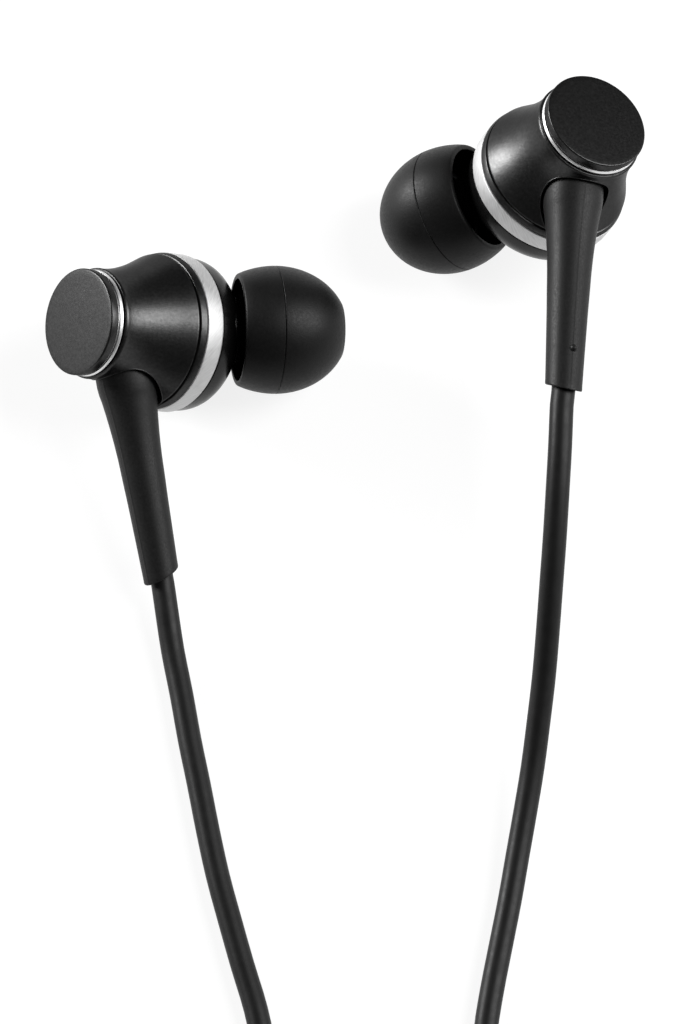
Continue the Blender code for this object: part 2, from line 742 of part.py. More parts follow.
def coil(name, middle, radius, turns, layers, start_angle, spin):
    """A neat pile of turns. It starts outside on the lowest layer, spirals in and out again at a steady
    rate, and climbs a layer in the half turn where the spiral reverses."""
    per_layer = turns / layers
    widest = radius + COIL_PITCH * per_layer / 2
    points = []
    for i in range(round(turns * COIL_POINTS) + 1):
        u = i / COIL_POINTS
        layer = min(int(u / per_layer + 1e-9), layers - 1)
        along = u - layer * per_layer
        shrink = along if layer % 2 == 0 else per_layer - along
        r = widest - COIL_PITCH * shrink
        z = COIL_HEIGHT
        for climb in range(1, layers):
            t = min(1.0, max(0.0, (u - climb * per_layer + 0.25) / 0.5))
            z += COIL_PITCH * (3 * t**2 - 2 * t**3)
        angle = start_angle + spin * 2 * pi * u
        points.append(Vector((middle.x + r * cos(angle), middle.y + r * sin(angle), z)))
    lead = Vector((0, CORD_DIAMETER, 0))
    path = [points[0] + lead] + points + [points[-1] - lead]
    tube(name, path, sides=1)
    apart = COIL_POINTS // 2
    gap = min(
        (points[i] - points[j]).length
        for i in range(len(points))
        for j in range(i + apart, len(points))
    ) - CORD_DIAMETER
    length = sum((b - a).length for a, b in zip(path, path[1:]))
    print(f"{name}: length {length / MM:.0f} mm, least gap to itself {gap / MM:.2f} mm")
    return path[0], path[-1], length


def tie(name, middle, radius, turns_across, layers, angle):
    """A flat strap round a coil's bundle of turns: a rounded rectangle with a hole, extruded."""
    half_width = COIL_PITCH * turns_across / 2 + CORD_DIAMETER / 2 + FIT
    bundle_low = COIL_HEIGHT - CORD_DIAMETER / 2 - FIT
    bundle_high = COIL_HEIGHT + COIL_PITCH * (layers - 1) + CORD_DIAMETER / 2 + FIT
    half_height = (bundle_high - bundle_low) / 2
    curve = bpy.data.curves.new(name, "CURVE")
    curve.dimensions = "2D"
    curve.fill_mode = "BOTH"
    curve.extrude = TIE_WIDTH / 2
    for grow in (0.0, TIE_THICKNESS):
        corner = TIE_CORNER + grow
        outline = []
        for quarter in range(4):
            turn = quarter * pi / 2
            cx = (half_width + grow - corner) * (1 if quarter in (0, 3) else -1)
            cy = (half_height + grow - corner) * (1 if quarter in (0, 1) else -1)
            for k in range(4):
                a = turn + k * pi / 6
                outline.append((cx + corner * cos(a), cy + corner * sin(a)))
        spline = curve.splines.new("POLY")
        spline.points.add(len(outline) - 1)
        for point, at in zip(spline.points, outline):
            point.co = (*at, 0, 1)
        spline.use_cyclic_u = True
    strap = show(name, curve, TIE_STRAP)
    out = Vector((cos(angle), sin(angle), 0))
    up = Vector((0, 0, 1))
    strap.matrix_world = Matrix.Translation(
        middle + out * radius + up * (bundle_low + half_height)
    ) @ Matrix((out, up, out.cross(up))).transposed().to_4x4()


def make_split():
    """The moulded piece where the branches join: a rounded block that narrows to the main cord."""
    bm = bmesh.new()
    bmesh.ops.create_cube(bm, size=1)
    bmesh.ops.scale(bm, vec=(SPLIT_WIDTH, SPLIT_LENGTH, SPLIT_HEIGHT), verts=bm.verts)
    for vert in bm.verts:
        if vert.co.y < 0:
            vert.co.x *= SPLIT_END_WIDTH / SPLIT_WIDTH
            vert.co.z = vert.co.z * 0.85 - SPLIT_HEIGHT * 0.075
    mesh = bpy.data.meshes.new("y_split")
    bm.to_mesh(mesh)
    bm.free()
    block = show("y_split", mesh, ELASTOMER)
    block.location = SPLIT_AT - Vector((0, SPLIT_LENGTH / 2, 0))
    bevel = block.modifiers.new("round", "BEVEL")
    bevel.width = 1.0 * MM
    bevel.segments = 3
    bevel.limit_method = "ANGLE"


def make_plug():
    """The 3.5 mm plug, turned about its own axis, which lies on the table beside the coil."""
    heading = Vector((cos(PLUG_HEADING), sin(PLUG_HEADING), 0))
    edge = 0.3 * MM
    run = PLUG_RELIEF_LENGTH
    pieces = [
        (
            "plug_relief",
            [
                (0, 0),
                (PLUG_RELIEF_RADIUS, 0),
                (PLUG_RELIEF_RADIUS + 0.05 * MM, 1.2 * MM),
                (PLUG_RELIEF_RADIUS + 0.30 * MM, run * 0.6),
                (PLUG_RELIEF_RADIUS + 0.80 * MM, run),
                (0, run),
            ],
            ELASTOMER,
        )
    ]
    start = run + FIT
    end = start + PLUG_LENGTH
    pieces.append((
        "plug_housing",
        [
            (0, start),
            (PLUG_RADIUS - edge, start),
            (PLUG_RADIUS, start + edge),
            (PLUG_RADIUS, end - 2 * edge),
            (PLUG_RADIUS - edge, end),
            (0, end),
        ],
        GLOSS_BLACK,
    ))
    at = end + SEAM
    for name, length, radius, material in (
        ("plug_sleeve_contact", SLEEVE_LENGTH, CONTACT_RADIUS, GOLD),
        ("plug_rear_insulator", INSULATOR_LENGTH, CONTACT_RADIUS * 0.97, GLOSS_BLACK),
        ("plug_ring_contact", RING_CONTACT_LENGTH, CONTACT_RADIUS, GOLD),
        ("plug_front_insulator", INSULATOR_LENGTH, CONTACT_RADIUS * 0.97, GLOSS_BLACK),
    ):
        pieces.append(
            (name, [(0, at), (radius, at), (radius, at + length), (0, at + length)], material)
        )
        at += length + SEAM
    nose = at + TIP_CONTACT_LENGTH
    pieces.append((
        "plug_tip_contact",
        [
            (0, at),
            (CONTACT_RADIUS * 0.62, at),
            (CONTACT_RADIUS * 0.62, at + 0.2 * MM),
            (CONTACT_RADIUS, at + 0.75 * MM),
            (CONTACT_RADIUS * 0.75, nose - 0.35 * MM),
            (CONTACT_RADIUS * 0.35, nose),
            (0, nose),
        ],
        GOLD,
    ))
    for name, outline, material in pieces:
        obj = turned(name, [(r, -z) for r, z in outline], material, SMALL_STEPS)
        set_pose(obj, PLUG_AT, -heading, Vector((0, 0, 1)))
    return heading


# ---------------------------------------------------------------- assembly
def make_earpiece(side, place, lean_to, with_dot):
    """One earpiece on an empty. Returns where its cord starts, in the world, and its heading."""
    unit = bpy.data.objects.new(f"{side}_earpiece", None)
    PARTS.objects.link(unit)
    location, rotation = place
    unit.location = Vector(location) * MM
    unit.rotation_euler = Euler([radians(a) for a in rotation])
    make_rear_cap(side, unit)
    make_cap_trim(side, unit)
    make_rear_housing(side, unit)
    make_trim_ring(side, unit)
    make_front_housing(side, unit, lean_to)
    make_nozzle_mesh(side, unit, lean_to)
    make_ear_tip(side, unit, lean_to)
    make_strain_relief(side, unit, with_dot)
    make_cord_stopper(side, unit)
    make_driver(side, unit)
    to_world = Matrix.LocRotScale(unit.location, unit.rotation_euler, None)
    start = BOOT_AT + boot_direction() * (BOOT_LENGTH - BOOT_BORE_DEPTH + FIT)
    heading = (to_world.to_3x3() @ boot_direction()).normalized()
    return to_world @ start, heading


down_table = Vector((0, -1, 0))
right_start, right_heading = make_earpiece("right", RIGHT_PLACE, 1, False)
left_start, left_heading = make_earpiece("left", LEFT_PLACE, -1, True)

branch_half = COIL_PITCH * BRANCH_COIL_TURNS / BRANCH_COIL_LAYERS / 2
right_entry = RIGHT_ROUTE[-1][0] * MM
left_entry = LEFT_ROUTE[-1][0] * MM
right_middle = Vector((right_entry - RIGHT_COIL_RADIUS - branch_half, BRANCH_COIL_Y, 0))
left_middle = Vector((left_entry + LEFT_COIL_RADIUS + branch_half, BRANCH_COIL_Y, 0))
turned_with = (BRANCH_COIL_TURNS, BRANCH_COIL_LAYERS)
right_in, right_out, right_wound = coil(
    "right_cord_coil", right_middle, RIGHT_COIL_RADIUS, *turned_with, 0.0, -1
)
left_in, left_out, left_wound = coil(
    "left_cord_coil", left_middle, LEFT_COIL_RADIUS, *turned_with, pi, 1
)
gap = FIT * down_table
right_seen = stretch("right_cord", right_start, right_heading, RIGHT_ROUTE, right_in - gap, down_table)
left_seen = stretch("left_cord", left_start, left_heading, LEFT_ROUTE, left_in - gap, down_table)

make_split()
inlet = SPLIT_AT - gap
beside = Vector((SPLIT_INLETS / 2, 0, 0))
right_tail = stretch(
    "right_cord_tail", right_out + gap, down_table, RIGHT_TAIL_ROUTE, inlet - beside, down_table
)
left_tail = stretch(
    "left_cord_tail", left_out + gap, down_table, LEFT_TAIL_ROUTE, inlet + beside, down_table
)

main_half = COIL_PITCH * MAIN_COIL_TURNS / MAIN_COIL_LAYERS / 2
main_middle = Vector((SPLIT_AT.x + MAIN_COIL_RADIUS + main_half, MAIN_COIL_Y, 0))
main_in, main_out, main_wound = coil(
    "main_cord_coil", main_middle, MAIN_COIL_RADIUS, MAIN_COIL_TURNS, MAIN_COIL_LAYERS, pi, 1
)
split_end = SPLIT_AT + down_table * (SPLIT_LENGTH + FIT)
main_seen = stretch("main_cord", split_end, down_table, (), main_in - gap, down_table)
plug_heading = make_plug()
main_tail = stretch(
    "main_cord_tail", main_out + gap, down_table, MAIN_TAIL_ROUTE,
    PLUG_AT - plug_heading * FIT, plug_heading,
)

branch_across = BRANCH_COIL_TURNS / BRANCH_COIL_LAYERS
main_across = MAIN_COIL_TURNS / MAIN_COIL_LAYERS
tie("right_coil_tie", right_middle, RIGHT_COIL_RADIUS, branch_across, BRANCH_COIL_LAYERS, -pi / 2)
tie("left_coil_tie", left_middle, LEFT_COIL_RADIUS, branch_across, BRANCH_COIL_LAYERS, -pi / 2)
tie("main_coil_tie", main_middle, MAIN_COIL_RADIUS, main_across, MAIN_COIL_LAYERS, -pi / 2)

print(f"right branch {(right_seen + right_wound + right_tail) / MM:.0f} mm")
print(f"left branch {(left_seen + left_wound + left_tail) / MM:.0f} mm")
print(f"main cord {(main_seen + main_wound + main_tail) / MM:.0f} mm")
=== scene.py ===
# %% [markdown]
# # A pair of wired earphones
# The real object is a pair of in-ear earphones. Each has a turned metal housing, a soft ear tip on a leaning
# nozzle, and a long rubber boot that holds the cord. The measured model gives every piece its place and size.
# This file dresses it: soft pieces are made again in a fuller form, and every surface gets a finish that is
# worked out by nodes, so it holds at any distance and from any side.

from math import atan2, cos, exp, hypot, pi, radians, sin, sqrt, tan

import bmesh
import bpy
from mathutils import Euler, Matrix, Vector


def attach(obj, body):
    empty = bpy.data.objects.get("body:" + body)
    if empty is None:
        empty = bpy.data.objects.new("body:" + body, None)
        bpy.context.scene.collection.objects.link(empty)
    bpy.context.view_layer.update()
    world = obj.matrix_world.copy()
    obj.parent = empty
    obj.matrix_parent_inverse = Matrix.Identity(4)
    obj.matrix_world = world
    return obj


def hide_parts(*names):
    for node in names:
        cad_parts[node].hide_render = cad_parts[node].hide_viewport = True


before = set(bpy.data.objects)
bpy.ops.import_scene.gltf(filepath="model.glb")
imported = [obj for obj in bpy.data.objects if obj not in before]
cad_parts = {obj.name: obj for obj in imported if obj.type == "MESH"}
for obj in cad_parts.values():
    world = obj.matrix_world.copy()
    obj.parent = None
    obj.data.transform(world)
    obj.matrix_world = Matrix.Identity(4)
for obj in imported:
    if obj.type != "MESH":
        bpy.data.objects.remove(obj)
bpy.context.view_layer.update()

MM = 0.001
FIXED = "earpieces_and_cord"        # the body that holds everything but the ear tips and the cones

# %% [markdown]
# ## The camera
# The picture looks down on the earpieces at 70 degrees, from 400 mm away. A lens this long keeps parallel
# edges nearly parallel, as a product photographer wants. It is made first, because the cord's unseen length
# has to lie outside what it sees.

# %% Set up the camera
CAMERA_AT = Vector((-0.31, -154.2, 383.4)) * MM
LOOKS_DOWN = radians(70)
LENS = 144.84                       # focal length in mm

camera = bpy.data.objects.new("camera", bpy.data.cameras.new("camera"))
bpy.context.scene.collection.objects.link(camera)
camera.location = CAMERA_AT
camera.rotation_euler = (pi / 2 - LOOKS_DOWN, 0, 0)
camera.data.lens = LENS
camera.data.clip_start = 0.01
bpy.context.scene.camera = camera
print("camera:", camera.location[:], "lens", LENS)

# %% [markdown]
# ## Where the earpieces lie
# Each earpiece is made in its own frame: its origin is the centre of the silver ring's front edge, Z runs
# along the housing to the cap, and the boot leaves towards -Y. One matrix then lays it on the table. That is
# easier than modelling at an angle, and both earpieces share one set of outlines.

# %% Place the two earpieces
EARPIECES = {
    # side: (location in mm, rotation in degrees, which way the nozzle leans)
    "right": ((-16.98, 1.66, 6.84), (18.5, -46.37, -11.84), 1),
    "left": ((19.76, 15.92, 10.58), (-10.7, 22.74, -3.37), -1),
}


def lay_down(side):
    """From an earpiece's own frame to its place on the table."""
    at, turn, _ = EARPIECES[side]
    return Matrix.LocRotScale(Vector(at) * MM, Euler([radians(a) for a in turn]), None)


def facing(origin, z_axis, x_hint):
    """A frame whose Z runs along z_axis."""
    z = z_axis.normalized()
    y = z.cross(x_hint).normalized()
    turn = Matrix((y.cross(z), y, z)).transposed()
    return Matrix.Translation(origin) @ turn.to_4x4()


BOOT_AT = Vector((0, -5.53, 6.07)) * MM        # on the boot's axis, at the housing's surface
BOOT_LEAN = radians(11.5)
BOOT_RUNS = Vector((0, -cos(BOOT_LEAN), -sin(BOOT_LEAN)))
boot_frame = facing(BOOT_AT, -BOOT_RUNS, Vector((1, 0, 0)))

NOZZLE_LEAN = radians(31.6)
NOZZLE_FROM = Vector((0, 0, 4.0)) * MM         # where its axis meets the housing's


def nozzle_frame(side):
    """In an earpiece's own frame, with Z running out along its nozzle."""
    lean_to = EARPIECES[side][2]
    runs = Vector((lean_to * sin(NOZZLE_LEAN), 0, -cos(NOZZLE_LEAN)))
    return facing(NOZZLE_FROM, runs, Vector((0, 1, 0)))


for side in EARPIECES:
    print(side, "cap faces", [round(v, 2) for v in lay_down(side).to_3x3().col[2]])

# %% [markdown]
# ## The cord's line
# A cord is a fixed length of something that bends. Listed points say where it goes, and a
# Catmull-Rom curve runs smoothly through all of them. What the picture doesn't show is wound into neat
# coils just outside the view: the cord spirals in and out, layer upon layer.

# %% Draw smooth lines and coils
CORD_DIAMETER = 2.30 * MM
COIL_PITCH = 2.80 * MM              # from turn to turn and from layer to layer
COIL_HEIGHT = 2.15 * MM             # centre line of the lowest layer
COIL_POINTS = 24                    # to a turn


def between(p0, p1, p2, p3, t):
    """The point at t on the way from p1 to p2, on a Catmull-Rom curve through all four."""
    bend = (2 * p0 - 5 * p1 + 4 * p2 - p3) * t**2
    return 0.5 * (2 * p1 + (p2 - p0) * t + bend + (3 * p1 - p0 - 3 * p2 + p3) * t**3)


def smooth_line(points, spacing=0.6 * CORD_DIAMETER):
    """A smooth line through the points. Its first and last stretch stay straight."""
    line = [points[0]]
    for i in range(1, len(points) - 2):
        near, far = points[i:i + 2]
        pieces = max(1, round((far - near).length / spacing))
        line += [between(*points[i - 1:i + 3], k / pieces) for k in range(pieces)]
    return line + [points[-2], points[-1]]


def length_of(line):
    return sum((b - a).length for a, b in zip(line, line[1:]))


def wind(middle, radius, turns, layers, start_angle, spin):
    """Points of a coil that starts outside on the lowest layer. It climbs where its spiral reverses."""
    per_layer = turns / layers
    widest = radius + COIL_PITCH * per_layer / 2
    climbs_over = 0.5                   # of a turn
    points = []
    for i in range(round(turns * COIL_POINTS) + 1):
        u = i / COIL_POINTS
        layer = min(int(u / per_layer + 1e-9), layers - 1)
        along = u - layer * per_layer
        shrink = along if layer % 2 == 0 else per_layer - along
        z = COIL_HEIGHT
        for climb in range(1, layers):
            t = min(1.0, max(0.0, (u - climb * per_layer) / climbs_over + 0.5))
            z += COIL_PITCH * (3 * t**2 - 2 * t**3)
        angle = start_angle + spin * 2 * pi * u
        r = widest - COIL_PITCH * shrink
        points.append(Vector((middle[0] + r * cos(angle), middle[1] + r * sin(angle), z)))
    return points


# %% Choose the routes
# Each route is a list of points in mm.
RIGHT_ROUTE = (
    (-17.45, -25.2, 2.35), (-16.75, -29.6, 1.45), (-15.85, -34, 1.25), (-15, -38.6, 1.25),
    (-14.05, -43.1, 1.25), (-13.15, -47.6, 1.25), (-12.15, -52.1, 1.25), (-10.95, -56.5, 1.25),
    (-9.7, -60.9, 1.25), (-8.4, -65.2, 1.25), (-7.6, -69.3, 1.25), (-7.35, -73.3, 1.35),
    (-7.5, -77.3, 1.65), (-7.65, -81.1, 2.1),
)
LEFT_ROUTE = (
    (20.75, -9.9, 16.7), (20.55, -13.9, 16.0), (20.3, -17.9, 14.8), (20.05, -21.9, 13.1),
    (19.75, -25.9, 11.1), (19.45, -29.9, 8.9), (19.1, -33.9, 6.8), (18.6, -37.9, 4.95),
    (18.05, -41.9, 3.4), (17.35, -45.9, 2.3), (16.55, -50.2, 1.6), (15.75, -54.55, 1.3),
    (14.85, -58.9, 1.25), (13.95, -63.3, 1.25), (13.3, -67.3, 1.25), (13.15, -71.3, 1.3),
    (13.35, -75.3, 1.5), (13.65, -78.8, 1.85), (13.75, -81.3, 2.1),
)
RIGHT_TAIL_ROUTE = ((-7.15, -92.6, 4.3), (-3.65, -95.0, 3.2), (0.05, -95.9, 2.5))
LEFT_TAIL_ROUTE = ((13.25, -92.6, 4.3), (9.75, -95.0, 3.2), (6.05, -95.9, 2.5))
MAIN_TAIL_ROUTE = (
    (3.0, -124.7, 10.3), (2.6, -128.4, 9.2), (0.05, -131.5, 7.3), (-4.0, -132.2, 5.1),
    (-7.2, -130.5, 3.7),
)
SPLIT_AT = Vector((3.05, -99.50, 2.20)) * MM   # middle of the face that the branches go into
SPLIT_LENGTH = 10.50 * MM
SPLIT_INLETS = 3.00 * MM            # between the two branches
BRANCH_COIL = {"turns": 3, "layers": 2}
MAIN_COIL = {"turns": 12, "layers": 4}
BRANCH_COIL_Y = -85.80 * MM
MAIN_COIL_Y = -119.00 * MM
BRANCH_COIL_RADII = {"right": 12.70 * MM, "left": 11.80 * MM}
MAIN_COIL_RADIUS = 11.60 * MM
PLUG_AT = Vector((-9.30, -128.40, 3.20)) * MM  # where the cord goes in
PLUG_TURN = radians(135)
PLUG_HEADING = Vector((cos(PLUG_TURN), sin(PLUG_TURN), 0))
BOOT_LENGTH = 19.55 * MM
BOOT_BORE_DEPTH = 2.20 * MM
FIT = 0.30 * MM                     # clearance between pieces that touch
INTO = 0.25 * MM                    # how far a cord reaches into what holds its end

down_table = Vector((0, -1, 0))


def in_mm(route):
    return [Vector(point) * MM for point in route]


def half_width(coil):
    return COIL_PITCH * coil["turns"] / coil["layers"] / 2


def branch_line(side, route, tail, start_angle, spin):
    """From inside the boot, along the table, round the coil and on to the split."""
    placed = lay_down(side)
    leaves = placed @ (BOOT_AT + BOOT_RUNS * (BOOT_LENGTH - BOOT_BORE_DEPTH + FIT))
    heading = (placed.to_3x3() @ BOOT_RUNS).normalized()
    radius = BRANCH_COIL_RADII[side]
    reach = spin * (radius + half_width(BRANCH_COIL))
    middle = Vector((route[-1][0] * MM + reach, BRANCH_COIL_Y, 0))
    coil = wind(middle, radius, start_angle=start_angle, spin=spin, **BRANCH_COIL)
    inlet = SPLIT_AT + Vector((spin * SPLIT_INLETS / 2, -INTO, 0))
    straight = -down_table * CORD_DIAMETER
    line = [leaves, leaves + heading * CORD_DIAMETER, *in_mm(route), coil[0] + straight, *coil]
    line += [coil[-1] - straight, *in_mm(tail), inlet + straight, inlet]
    return smooth_line(line), middle


cord_lines = {}
cord_lines["right"], right_middle = branch_line("right", RIGHT_ROUTE, RIGHT_TAIL_ROUTE, 0.0, -1)
cord_lines["left"], left_middle = branch_line("left", LEFT_ROUTE, LEFT_TAIL_ROUTE, pi, 1)
main_middle = Vector((SPLIT_AT.x + MAIN_COIL_RADIUS + half_width(MAIN_COIL), MAIN_COIL_Y, 0))
main_coil = wind(main_middle, MAIN_COIL_RADIUS, start_angle=pi, spin=1, **MAIN_COIL)
split_end = SPLIT_AT + down_table * (SPLIT_LENGTH - INTO)
cord_lines["main"] = smooth_line(
    [split_end, split_end + down_table * CORD_DIAMETER, *main_coil]
    + [main_coil[-1] + down_table * CORD_DIAMETER, *in_mm(MAIN_TAIL_ROUTE)]
    + [PLUG_AT - PLUG_HEADING * CORD_DIAMETER, PLUG_AT + PLUG_HEADING * INTO]
)
for name, line in cord_lines.items():
    print(f"{name} cord: {1000 * length_of(line):.0f} mm, {len(line)} points")

# %% [markdown]
# ## How a finish is built
# A finish starts as one Principled shader. Noise then moves its colour, its roughness and the height of its
# surface a little, each at the size that the real texture has. Sizes are given in metres, so the grain stays
# right when the camera moves. A few helpers keep each finish short.

# %% Helpers for finishes
NOISE_LOW, NOISE_HIGH = 0.3, 0.7    # nearly all noise lies between these
finishes = {}


def start_finish(name, colour, roughness, metallic=0.0, **sockets):
    """A named Principled material. Returns its node tree and shader."""
    made = bpy.data.materials.new(name)
    made.use_nodes = True
    shader = made.node_tree.nodes["Principled BSDF"]
    shader.inputs["Base Color"].default_value = (*colour, 1)
    shader.inputs["Roughness"].default_value = roughness
    shader.inputs["Metallic"].default_value = metallic
    for socket, value in sockets.items():
        shader.inputs[socket.replace("_", " ")].default_value = value
    finishes[name] = made
    print(f"finish {name}: roughness {roughness}, metallic {metallic}")
    return made.node_tree, shader


def add(tree, kind, **settings):
    """A new shader node, with its settings."""
    node = tree.nodes.new("ShaderNode" + kind)
    for key, value in settings.items():
        setattr(node, key, value)
    return node


def on_lathe(tree):
    """Where a point was when its piece was turned, with Z along the axis."""
    return add(tree, "Attribute", attribute_name="made_at").outputs["Vector"]


def grain(tree, size, stretch=(1, 1, 1), detail=3.0, where=None):
    """Noise whose blotches are about size metres across."""
    if where is None:
        where = add(tree, "TexCoord").outputs["Object"]
    fit = add(tree, "Mapping")
    fit.inputs["Scale"].default_value = [s / size for s in stretch]
    noise = add(tree, "TexNoise")
    noise.inputs["Scale"].default_value = 1.0
    noise.inputs["Detail"].default_value = detail
    tree.links.new(where, fit.inputs["Vector"])
    tree.links.new(fit.outputs["Vector"], noise.inputs["Vector"])
    return noise.outputs["Fac"]


def vary(tree, value, socket, low, high):
    """Drives a number of the shader between two limits."""
    spread = add(tree, "MapRange")
    spread.inputs["From Min"].default_value = NOISE_LOW
    spread.inputs["From Max"].default_value = NOISE_HIGH
    spread.inputs["To Min"].default_value = low
    spread.inputs["To Max"].default_value = high
    tree.links.new(value, spread.inputs["Value"])
    tree.links.new(spread.outputs["Result"], socket)


def tint(tree, value, shader, dark, light):
    """Drives the colour between two limits."""
    ramp = add(tree, "ValToRGB")
    stops = ((NOISE_LOW, dark), (NOISE_HIGH, light))
    for stop, (position, colour) in zip(ramp.color_ramp.elements, stops):
        stop.position = position
        stop.color = (*colour, 1)
    tree.links.new(value, ramp.inputs["Fac"])
    tree.links.new(ramp.outputs["Color"], shader.inputs["Base Color"])


def emboss(tree, value, shader, depth, strength=1.0):
    """Raises the surface by up to depth metres, on top of any relief it has."""
    bump = add(tree, "Bump")
    bump.inputs["Distance"].default_value = depth
    bump.inputs["Strength"].default_value = strength
    tree.links.new(value, bump.inputs["Height"])
    if shader.inputs["Normal"].is_linked:
        below = shader.inputs["Normal"].links[0].from_socket
        tree.links.new(below, bump.inputs["Normal"])
    tree.links.new(bump.outputs["Normal"], shader.inputs["Normal"])


def grey(level):
    return (level, level, level)


# %% [markdown]
# ## The cord's skin
# The sheath is a soft plastic that is pressed out round the wires in one run, so it is smooth, satin and a
# little uneven. Its faint specks are finer than a hair.

# %% Finish for the cord
tree, shader = start_finish("black_cord", grey(0.005), 0.48, IOR=1.30)
tint(tree, grain(tree, 2.5 * MM), shader, grey(0.004), grey(0.006))
vary(tree, grain(tree, 0.9 * MM), shader.inputs["Roughness"], 0.44, 0.52)
emboss(tree, grain(tree, 1.6 * MM), shader, 0.02 * MM)
emboss(tree, grain(tree, 0.12 * MM), shader, 0.003 * MM)

# %% [markdown]
# ## The cords themselves
# A curve with a round bevel is the natural way to make a cord: it keeps its thickness round every bend, and
# its line stays there to be measured. Three cords meet at the split, so there are three curves.

# %% Make the three cords
def keep(obj):
    """Puts an object in the scene."""
    bpy.context.scene.collection.objects.link(obj)
    return obj


def cord_curve(name, line):
    """A round cord along the line."""
    curve = bpy.data.curves.new(name, "CURVE")
    curve.dimensions = "3D"
    curve.bevel_depth = CORD_DIAMETER / 2
    curve.bevel_resolution = 6
    curve.use_fill_caps = True
    spline = curve.splines.new("POLY")
    spline.points.add(len(line) - 1)
    for point, at in zip(spline.points, line):
        point.co = (*at, 1)
    curve.materials.append(finishes["black_cord"])
    cord = keep(bpy.data.objects.new(name, curve))
    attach(cord, FIXED)
    return cord


cords = {name: cord_curve(f"{name}_cord_line", line) for name, line in cord_lines.items()}
for name, cord in cords.items():
    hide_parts(f"{name}_cord", f"{name}_cord_coil", f"{name}_cord_tail")
    print(cord.name, "has", len(cord.data.splines[0].points), "points")

# %% [markdown]
# ## Turned pieces
# Nearly every rigid piece here is turned: it has one outline that is spun round an axis. So the work goes
# into the outline. One helper rounds its corners, because no real edge is perfectly sharp and a rounded one
# catches the light. Another draws a smooth flare through a few measured radii.

# %% Helpers for outlines
def eased(corners, steps=3):
    """Rounds the corners of a closed outline. A corner is (radius, height) or (radius, height, easing)."""
    outline = []
    for i, corner in enumerate(corners):
        here = Vector(corner[:2])
        if len(corner) == 2 or corner[2] == 0:
            outline.append(here)
            continue
        back = Vector(corners[i - 1][:2]) - here
        ahead = Vector(corners[(i + 1) % len(corners)][:2]) - here
        reach = min(corner[2], 0.45 * back.length, 0.45 * ahead.length)
        start = here + back.normalized() * reach
        end = here + ahead.normalized() * reach
        for k in range(steps + 1):
            t = k / steps
            outline.append(start * (1 - t)**2 + here * 2 * t * (1 - t) + end * t**2)
    return outline


def flowing(points, per=4):
    """A smooth line through (radius, height) points, ends included."""
    flat = [Vector((*p, 0)) for p in points]
    ends = [2 * flat[0] - flat[1], *flat, 2 * flat[-1] - flat[-2]]
    fours = zip(ends, ends[1:], ends[2:], ends[3:])
    line = [between(*four, k / per) for four in fours for k in range(per)]
    return [(at.x, at.y) for at in (*line, flat[-1])]


sharp_corner = [(0, 1), (0, 0, 0.1), (1, 0)]
print("an eased corner takes", len(eased(sharp_corner)) - 2, "points")


# %% Helpers that make meshes
TURN_STEPS = 96
MERGE = 1e-7                        # metres


def made_from(bm, name):
    """Turns finished mesh work into an object of the scene."""
    mesh = bpy.data.meshes.new(name)
    bm.to_mesh(mesh)
    bm.free()
    return keep(bpy.data.objects.new(name, mesh))


def turned(name, outline, steps=TURN_STEPS):
    """Spins an outline of (radius, height) in mm. One that doesn't start on the axis becomes a ring."""
    bm = bmesh.new()
    verts = [bm.verts.new((p[0] * MM, 0, p[1] * MM)) for p in outline]
    edges = [bm.edges.new(pair) for pair in zip(verts, verts[1:])]
    if outline[0][0] > 0:
        edges.append(bm.edges.new((verts[-1], verts[0])))
    bmesh.ops.spin(bm, geom=verts + edges, axis=(0, 0, 1), cent=(0, 0, 0), angle=2 * pi, steps=steps)
    bmesh.ops.remove_doubles(bm, verts=bm.verts, dist=MERGE)
    bmesh.ops.recalc_face_normals(bm, faces=bm.faces)
    return made_from(bm, name)


def skinned(name, rings, closed=True):
    """Joins rings of points into a tube. It meets its own start if closed, or else gets flat ends."""
    bm = bmesh.new()
    rings = [[bm.verts.new(at) for at in ring] for ring in rings]
    for near, far in zip(rings, rings[1:] + (rings[:1] if closed else [])):
        for k in range(len(near)):
            bm.faces.new((near[k - 1], near[k], far[k], far[k - 1]))
    if not closed:
        bm.faces.new(rings[0])
        bm.faces.new(rings[-1])
    bmesh.ops.recalc_face_normals(bm, faces=bm.faces)
    return made_from(bm, name)


def combine(piece, tool, operation="DIFFERENCE"):
    """Cuts the tool out of the piece, or joins it on, and throws the tool away."""
    modifier = piece.modifiers.new("combine", "BOOLEAN")
    modifier.operation = operation
    modifier.object = tool
    modifier.solver = "EXACT"
    bpy.context.view_layer.update()
    graph = bpy.context.evaluated_depsgraph_get()
    mesh = bpy.data.meshes.new_from_object(piece.evaluated_get(graph))
    piece.modifiers.clear()
    piece.data = mesh
    bpy.data.objects.remove(tool)


def settle(piece, place, finish, node, body=FIXED, sharp_over=32):
    """Lays a piece in place, gives it its finish, and hides its node of the measured model, which it stands
    in for.
    """
    piece.data.shade_smooth()
    piece.data.set_sharp_from_angle(angle=radians(sharp_over))
    piece.data.materials.clear()
    piece.data.materials.append(finishes[finish])
    # Where each point was before it was laid down, for the textures that follow the turning.
    made_at = piece.data.attributes.new("made_at", "FLOAT_VECTOR", "POINT")
    for point, vert in zip(made_at.data, piece.data.vertices):
        point.vector = vert.co
    piece.data.transform(place)
    if node:
        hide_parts(node)
    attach(piece, body)
    print(f"{piece.name}: {len(piece.data.polygons)} faces, {finish}")
    return piece
